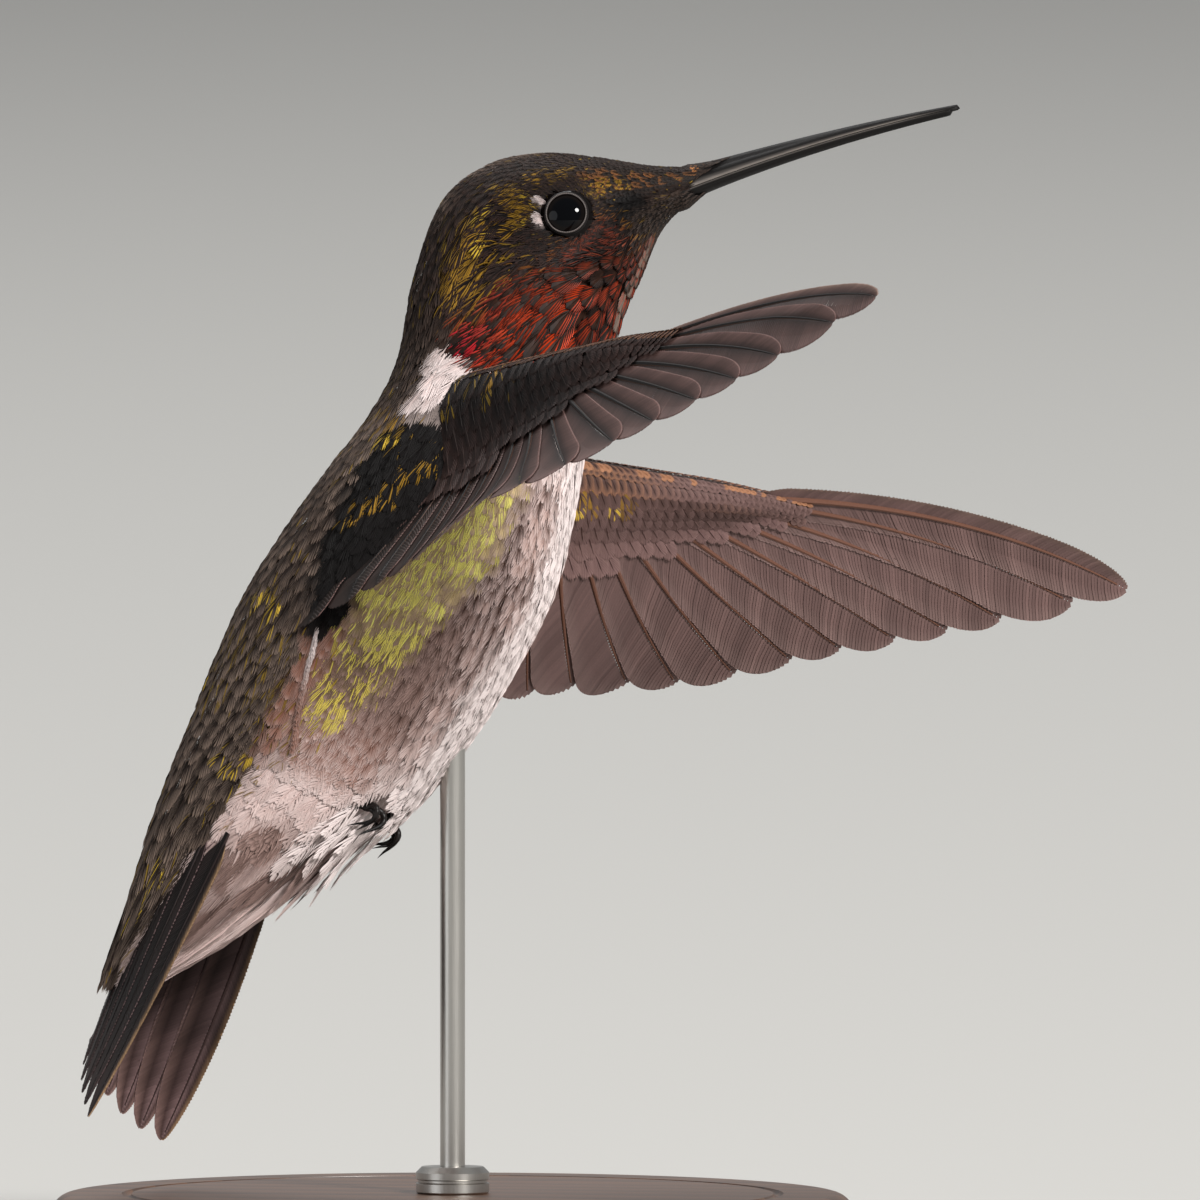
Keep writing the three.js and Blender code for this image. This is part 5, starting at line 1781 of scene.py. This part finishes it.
@dataclass
class Stand:
    """A turned round base with a steel collar and rod."""

    radius: float = 24.0
    height: float = 5.0
    edge: float = 1.2
    bevel: float = 0.5
    collar_radius: float = 2.2
    collar_height: float = 1.6
    rod_radius: float = 0.75

    def turned_piece(self, name: str, profile: Array, sides: int) -> Piece:
        """A profile of radius and height carried round the upright axis.

        Args:
            name: of the piece.
            profile: radius and height, from the middle of the underside outwards and up.
            sides: steps round the axis.
        """
        angle = full_turn(sides)
        ring = np.stack([np.cos(angle), np.sin(angle), 0 * angle], -1)
        rings = profile[:, 0, None, None] * ring[None] + profile[:, 1, None, None] * np.array([0, 0, 1.0])
        points, faces = tube_mesh(rings)
        uv = 0.5 + 0.4 * points[:, :2] / max(np.abs(points[:, :2]).max(), 1e-6)
        obj = Shape(points * MM, faces, np.full(3, 0.5), uv).mesh(name, in_bird=False, smooth=True)
        obj.data.set_sharp_from_angle(angle=math.radians(38))
        return obj

    def base(self) -> Piece:
        """The base: bevelled foot, flat side with one bead, rounded rim, shallow dished top."""
        r, h, e = self.radius, self.height, self.edge
        turn = np.linspace(0, np.pi / 2, 10)
        rim = paired(r - e + e * np.cos(turn), h - e + e * np.sin(turn))
        bead = np.linspace(0, np.pi, 9)
        groove = paired(r - 0.22 * np.sin(bead), 1.5 + 0.35 * (1 - np.cos(bead)))
        step = paired(r - 4.2 - 0.3 * (1 - np.cos(bead)), h - 0.25 * np.sin(bead))
        foot = [(0.4, 0), (r - self.bevel, 0), (r, self.bevel)]
        profile = np.concatenate([foot, groove, rim, step, [(8, h), (0.4, h)]])
        return self.turned_piece("stand_base_turned", profile, 160)

    def collar(self) -> Piece:
        """The collar about the rod's foot, with a chamfer and a groove."""
        r, h = self.collar_radius, self.collar_height
        profile = np.array([
            (0.2, 0), (r - 0.1, 0), (r, 0.1), (r, 0.6), (r - 0.12, 0.68), (r - 0.12, 0.8), (r, 0.88),
            (r, h - 0.35), (r - 0.35, h), (0.2, h)])
        return self.turned_piece("stand_collar_turned", profile + [0, self.height + 0.02], 72)

    def rod(self, top: float) -> Piece:
        """The rod, up to a height in mm."""
        foot = self.height + self.collar_height - 0.3
        side = paired(self.rod_radius, np.linspace(foot, top, 30))
        return self.turned_piece("stand_rod_drawn", np.concatenate([[(0.1, foot)], side, [(0.1, top)]]), 40)


# ---- finishes


class Nodes:
    """A small hand for wiring shader nodes."""

    def __init__(self, tree: Tree) -> None:
        """Takes the tree to wire."""
        self.tree = tree

    def add(self, kind: str, settings: dict | None = None, **inputs: object) -> bpy.types.Node:
        """A node of a kind, with settings of its own and its inputs set or linked, _ standing for a space."""
        node = self.tree.nodes.new(kind)
        for key, value in (settings or {}).items():
            setattr(node, key, value)
        for key, value in inputs.items():
            numbered = key[0] == "i" and key[1:].isdigit()
            socket = node.inputs[int(key[1:]) if numbered else key.replace("_", " ")]
            if isinstance(value, Socket):
                self.tree.links.new(value, socket)
            else:
                socket.default_value = value
        return node


def effect(name: str, inputs: list[tuple], outputs: list[tuple]) -> tuple[Tree, Nodes]:
    """A new shader node group with named inputs and outputs.

    Args:
        name: of the group.
        inputs: name, kind of socket and value of each.
        outputs: name and kind of each.
    """
    tree = bpy.data.node_groups.new(name, "ShaderNodeTree")
    for label, kind, value in inputs:
        tree.interface.new_socket(label, in_out="INPUT", socket_type=kind).default_value = value
    for label, kind in outputs:
        tree.interface.new_socket(label, in_out="OUTPUT", socket_type=kind)
    return tree, Nodes(tree)


def grain_effect() -> Tree:
    """Fine uneven grain: a noise stretched along one way darkens and lightens a colour and gives a height."""
    value = "NodeSocketFloat"
    inputs = [("Colour", "NodeSocketColor", (0.5, 0.5, 0.5, 1)), ("Scale", value, 1000.0),
              ("Amount", value, 0.2), ("Place", "NodeSocketVector", (0, 0, 0))]
    tree, nodes = effect("fine_grain", inputs, [("Colour", "NodeSocketColor"), ("Height", value)])
    colour, scale, amount, place = list(nodes.add("NodeGroupInput").outputs)[:4]
    noise = nodes.add("ShaderNodeTexNoise", Vector=place, Scale=scale, Detail=3.0, Roughness=0.6)
    centred = nodes.add("ShaderNodeMath", {"operation": "SUBTRACT"}, i0=noise.outputs["Fac"], i1=0.5)
    settings = {"operation": "MULTIPLY_ADD"}
    spread = nodes.add("ShaderNodeMath", settings, i0=centred.outputs[0], i1=amount, i2=1.0)
    tone = nodes.add("ShaderNodeVectorMath", {"operation": "SCALE"}, i0=colour, Scale=spread.outputs[0])
    out = nodes.add("NodeGroupOutput")
    tree.links.new(tone.outputs[0], out.inputs["Colour"])
    tree.links.new(noise.outputs["Fac"], out.inputs["Height"])
    return tree


class Finish:
    """A material around one Principled shader."""

    def __init__(self, name: str, **constants: object) -> None:
        """Makes the material, with the shader's constant values."""
        self.material = bpy.data.materials.new(name)
        self.material.use_nodes = True
        self.tree = self.material.node_tree
        self.nodes = Nodes(self.tree)
        self.shader = self.tree.nodes["Principled BSDF"]
        for key, value in constants.items():
            self.shader.inputs[key.replace("_", " ")].default_value = value

    def feed(self, socket: str, source: Socket) -> None:
        """Links a source to the shader."""
        self.tree.links.new(source, self.shader.inputs[socket])

    def carried(self, name: str) -> bpy.types.Node:
        """The node that reads what the mesh carries under a name."""
        return self.nodes.add("ShaderNodeAttribute", {"attribute_name": name})

    def roughen(self, source: Socket, low: float, high: float) -> Material:
        """Spreads the roughness over a range by a source, which ends the material."""
        spread = self.nodes.add("ShaderNodeMapRange", Value=source, To_Min=low, To_Max=high)
        self.feed("Roughness", spread.outputs[0])
        return self.material

    def grain(self, tree: Tree, colour: Socket | Colour, scale: float, amount: float,
              stretch: Colour = (1, 1, 1), relief: float = 0.1, depth: float = 0.00002) -> bpy.types.Node:
        """Feeds the shader's colour and normal from the shared grain.

        Args:
            tree: the grain's node group.
            colour: what the grain changes.
            scale: of the noise, over metres.
            amount: how much it changes the colour.
            stretch: scale along each axis of the object.
            relief: strength of the bump.
            depth: its height in metres.
        """
        place = self.nodes.add("ShaderNodeTexCoord").outputs["Object"]
        mapped = self.nodes.add("ShaderNodeMapping", Vector=place, Scale=stretch)
        group = self.nodes.add("ShaderNodeGroup", {"node_tree": tree})
        group.inputs["Scale"].default_value = scale
        group.inputs["Amount"].default_value = amount
        self.tree.links.new(mapped.outputs[0], group.inputs["Place"])
        if isinstance(colour, Socket):
            self.tree.links.new(colour, group.inputs["Colour"])
        else:
            group.inputs["Colour"].default_value = (*linear(colour), 1)
        self.feed("Base Color", group.outputs["Colour"])
        height = group.outputs["Height"]
        relief = self.nodes.add("ShaderNodeBump", Strength=relief, Distance=depth, Height=height)
        self.feed("Normal", relief.outputs["Normal"])
        return group


class Finishes:
    """All the finishes, each made once."""

    def __init__(self) -> None:
        """Makes the finishes."""
        self.grain = grain_effect()
        self.plumes = {slot: self.plume(slot, *values) for slot, values in {
            "crown_and_gorget": (0.55, 0.01), "collar": (0.75, 0.02), "body_feathers": (0.66, 0.02),
            "flight_feathers": (0.5, 0.02), "wing_coverts": (0.6, 0.01)}.items()}
        self.skin = self.plume("skin", 0.7, 0.05)
        self.bill = self.horn("bill", 0.5, (120, 1500, 1500))
        self.claw = self.horn("claw", 0.3, (700, 700, 700))
        self.eye = self.glass()
        self.wood = self.walnut()
        self.steel = self.drawn_steel()

    def plume(self, name: str, roughness: float, sheen: float) -> Material:
        """Feathers: each barb's own tint, finely grained, with a metallic glint where it is glossy."""
        finish = Finish(f"plumage_{name}", Sheen_Weight=sheen, Sheen_Roughness=0.4, Specular_IOR_Level=0.14)
        tint, gloss = finish.carried("tint").outputs["Color"], finish.carried("gloss").outputs["Fac"]
        finish.grain(self.grain, tint, 9000.0, 0.35, relief=0.12, depth=0.00001)
        finish.feed("Metallic", gloss)
        return finish.roughen(gloss, roughness, 0.28)

    def horn(self, name: str, roughness: float, stretch: Colour) -> Material:
        """Black horn, finely lined along its length."""
        finish = Finish(f"horn_{name}", Coat_Weight=0.04, Coat_Roughness=0.2, Specular_IOR_Level=0.2)
        tint = finish.carried("tint").outputs["Color"]
        group = finish.grain(self.grain, tint, 4.0, 0.7, stretch, 0.25)
        return finish.roughen(group.outputs["Height"], roughness, roughness + 0.25)

    def glass(self) -> Material:
        """The wet eye: nearly black, under a clear coat."""
        coat = {"Coat_Weight": 1.0, "Coat_Roughness": 0.015, "Coat_IOR": 1.22}
        finish = Finish("eye_gloss", Roughness=0.3, Specular_IOR_Level=0.0, **coat)
        finish.feed("Base Color", finish.carried("tint").outputs["Color"])
        return finish.material

    def walnut(self) -> Material:
        """Oiled walnut: wavy growth lines along one way, and pores."""
        finish = Finish("walnut", Coat_Weight=0.3, Coat_Roughness=0.25)
        nodes = finish.nodes
        place = nodes.add("ShaderNodeTexCoord").outputs["Object"]
        mapped = nodes.add("ShaderNodeMapping", Vector=place, Scale=(26, 190, 190))
        lines = nodes.add("ShaderNodeTexWave", {"bands_direction": "Y", "wave_profile": "SAW"}, Scale=0.42,
                          Vector=mapped.outputs[0], Distortion=9.0, Detail=4.0, Detail_Scale=0.8,
                          Detail_Roughness=0.62)
        ramp = nodes.add("ShaderNodeValToRGB", None, Fac=lines.outputs["Fac"])
        dark, light = ramp.color_ramp.elements
        dark.color, light.color = (*linear((0.27, 0.18, 0.125)), 1), (*linear((0.40, 0.275, 0.19)), 1)
        group = finish.grain(self.grain, ramp.outputs["Color"], 6.0, 0.9, (150, 1400, 1400), 0.25, 0.00003)
        return finish.roughen(group.outputs["Height"], 0.32, 0.5)

    def drawn_steel(self) -> Material:
        """Drawn steel with fine lines along its length."""
        finish = Finish("drawn_steel", Metallic=1.0)
        group = finish.grain(self.grain, (0.72, 0.71, 0.69), 5.0, 0.25, (3000, 3000, 60), 0.12, 0.00001)
        return finish.roughen(group.outputs["Height"], 0.22, 0.42)


# ---- studio


@dataclass
class Studio:
    """The camera, a plain pale floor and soft lights."""

    azimuth: float = math.radians(13.0)
    elevation: float = math.radians(2.5)
    distance: float = 3.0
    field: float = 0.07186  # width of the view at the bird, in metres
    aside: float = 0.00898  # of the view's middle from the mid-shoulder point, to the right
    below: float = 0.00928

    def axes(self) -> tuple[Array, Array, Array]:
        """Right, up and backwards from the camera."""
        a, e = self.azimuth, self.elevation
        back = np.array([math.sin(a) * math.cos(e), -math.cos(a) * math.cos(e), math.sin(e)])
        right = np.array([math.cos(a), math.sin(a), 0.0])
        return right, np.cross(back, right), back

    def camera(self) -> None:
        """Sets up the camera, with no depth of field and no shift."""
        right, up, back = self.axes()
        target = PERCH.place(np.zeros(3)) + right * self.aside - up * self.below
        data = bpy.data.cameras.new("camera")
        data.sensor_width = 36.0
        data.lens = 36.0 * self.distance / self.field
        data.clip_start, data.clip_end = 0.05, 60.0
        bpy.context.scene.camera = self.hung("camera", data, target + back * self.distance, back)

    @staticmethod
    def hung(name: str, data: bpy.types.ID, place: Array, direction: Array) -> Piece:
        """A camera or light at a place, looking against a direction."""
        obj = added(name, data)
        obj.location = Vector(place)
        obj.rotation_mode = "QUATERNION"
        obj.rotation_quaternion = Vector(direction).to_track_quat("Z", "Y")
        return obj

    def floor(self) -> None:
        """A wide pale floor."""
        finish = Finish("pale_floor", Roughness=0.85, Base_Color=(*linear((0.72, 0.715, 0.70)), 1))
        angle = full_turn(64)
        ring = np.stack([np.cos(angle), np.sin(angle), 0 * angle], -1)
        rings = np.stack([ring * r for r in (0.01, 0.05, 0.2, 1.0, 12.0)])
        faces = halved(grid_faces(5, 64, closed=True)).tolist()
        mesh = bpy.data.meshes.new("floor")
        mesh.from_pydata(rings.reshape(-1, 3).tolist(), [], [*faces, list(range(64))])
        mesh.materials.append(finish.material)
        added("floor", mesh)

    def light(self, name: str, toward: Triple, distance: float, size: float, power: float,
              colour: Colour = (1, 1, 1)) -> None:
        """A soft round light.

        Args:
            name: of the light.
            toward: its direction from the bird, as shares of the camera's right, up and back.
            distance: in metres.
            size: its width.
            power: in watts.
            colour: of its light.
        """
        right, up, back = self.axes()
        direction = unit(right * toward[0] + up * toward[1] + back * toward[2])
        data = bpy.data.lights.new(name, "AREA")
        data.shape, data.size, data.energy, data.color = "DISK", size, power, colour
        self.hung(name, data, PERCH.place(np.zeros(3)) + direction * distance, direction)

    def lights(self) -> None:
        """Key from the bird's front and above, near the camera; a weak fill from its back; a top light."""
        self.light("key", (0.75, 0.75, 1.0), 2.2, 0.5, 64.0, (1.0, 0.98, 0.96))
        self.light("fill", (-1.0, 0.2, 0.7), 2.6, 1.6, 12.0, (0.93, 0.96, 1.0))
        self.light("top", (-0.2, 1.0, -0.5), 2.4, 1.4, 30.0)
        world = bpy.data.worlds.new("soft_room")
        world.use_nodes = True
        shader = world.node_tree.nodes["Background"]
        shader.inputs["Color"].default_value = (0.86, 0.87, 0.88, 1)
        shader.inputs["Strength"].default_value = 0.36
        bpy.context.scene.world = world
        bpy.context.scene.view_settings.view_transform = "Standard"


# ---- putting it together


def dress_piece(obj: Piece, material: Material, slot: str, *nodes: str) -> None:
    """Gives a piece its material and body, and hides the nodes it stands for."""
    obj.data.materials.clear()
    obj.data.materials.append(material)
    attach(obj, "root")
    if nodes:
        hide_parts(*nodes)
    log.info("%s: %d triangles", obj.name, len(obj.data.polygons))


def main() -> None:
    """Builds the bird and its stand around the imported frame, and the studio around both."""
    logging.basicConfig(level=logging.INFO, format="%(message)s")
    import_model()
    rod_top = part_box("stand_rod")[1].z / MM
    finishes = Finishes()
    body, plumage = Body(), Plumage()
    wings = [
        Wing("left", (0, 4.5, 0), (33.8, 31.3, 1.2), (-0.434, 0.481, -0.759)),
        Wing("right", (1.5, 4.5, 1.5), (32.9, 32.6, -1.5), (-0.46, 0.44, -0.771), mirror=-1.0),
    ]
    eyes = [Eye(body, 1.0), Eye(body, -1.0)]

    skin = Skin(body, plumage).piece(wings, eyes)
    flesh = ("head", "neck", "trunk", "tail_coverts", "wing_left_arm", "wing_right_arm")
    dress_piece(skin, finishes.skin, "body_feathers", *flesh)
    coat = Coat(body, plumage)
    for tract, obj in coat.pieces():
        slot = tract.value[0]
        dress_piece(obj, finishes.plumes[slot], slot)
    for obj, slot in zip(coat.fine_pieces(), ("crown_and_gorget", "body_feathers")):
        dress_piece(obj, finishes.plumes[slot], slot)
    for wing in wings:
        for upper, face in ((True, "upper"), (False, "under")):
            coverts = wing.coverts(upper).grown(COVERT_CUT, seeded(71 + upper)).outward()
            obj = coverts.mesh(f"coverts_{face}_{wing.name}")
            dress_piece(obj, finishes.plumes["wing_coverts"], "wing_coverts")
        nodes = (f"wing_{wing.name}_secondaries", f"wing_{wing.name}_primaries")
        obj = wing.quills().mesh(f"flight_feathers_{wing.name}")
        dress_piece(obj, finishes.plumes["flight_feathers"], "flight_feathers", *nodes)
    for side, name in ((1.0, "left"), (-1.0, "right")):
        obj = Tail().half(side).mesh(f"tail_feathers_{name}")
        dress_piece(obj, finishes.plumes["flight_feathers"], "flight_feathers", f"tail_{name}")
    for eye, name in zip(eyes, ("left", "right")):
        obj = eye.ball().outward().mesh(f"eyeball_{name}", smooth=True)
        dress_piece(obj, finishes.eye, "eye", f"eye_{name}")
    for sign, name in ((1.0, "upper"), (-1.0, "lower")):
        obj = Bill().half(sign).outward().mesh(f"bill_horn_{name}", smooth=True)
        dress_piece(obj, finishes.bill, "bill", f"bill_{name}")
    for side, name in ((1.0, "left"), (-1.0, "right")):
        obj = Foot().shape(side).mesh(f"foot_{name}", smooth=True)
        dress_piece(obj, finishes.claw, "claw", f"leg_{name}")
    stand = Stand()
    dress_piece(stand.base(), finishes.wood, "base_wood", "stand_base")
    dress_piece(stand.collar(), finishes.steel, "stand_metal", "stand_collar")
    dress_piece(stand.rod(rod_top), finishes.steel, "stand_metal", "stand_rod")

    studio = Studio()
    studio.camera()
    studio.floor()
    studio.lights()


if __name__ == "__main__":
    main()
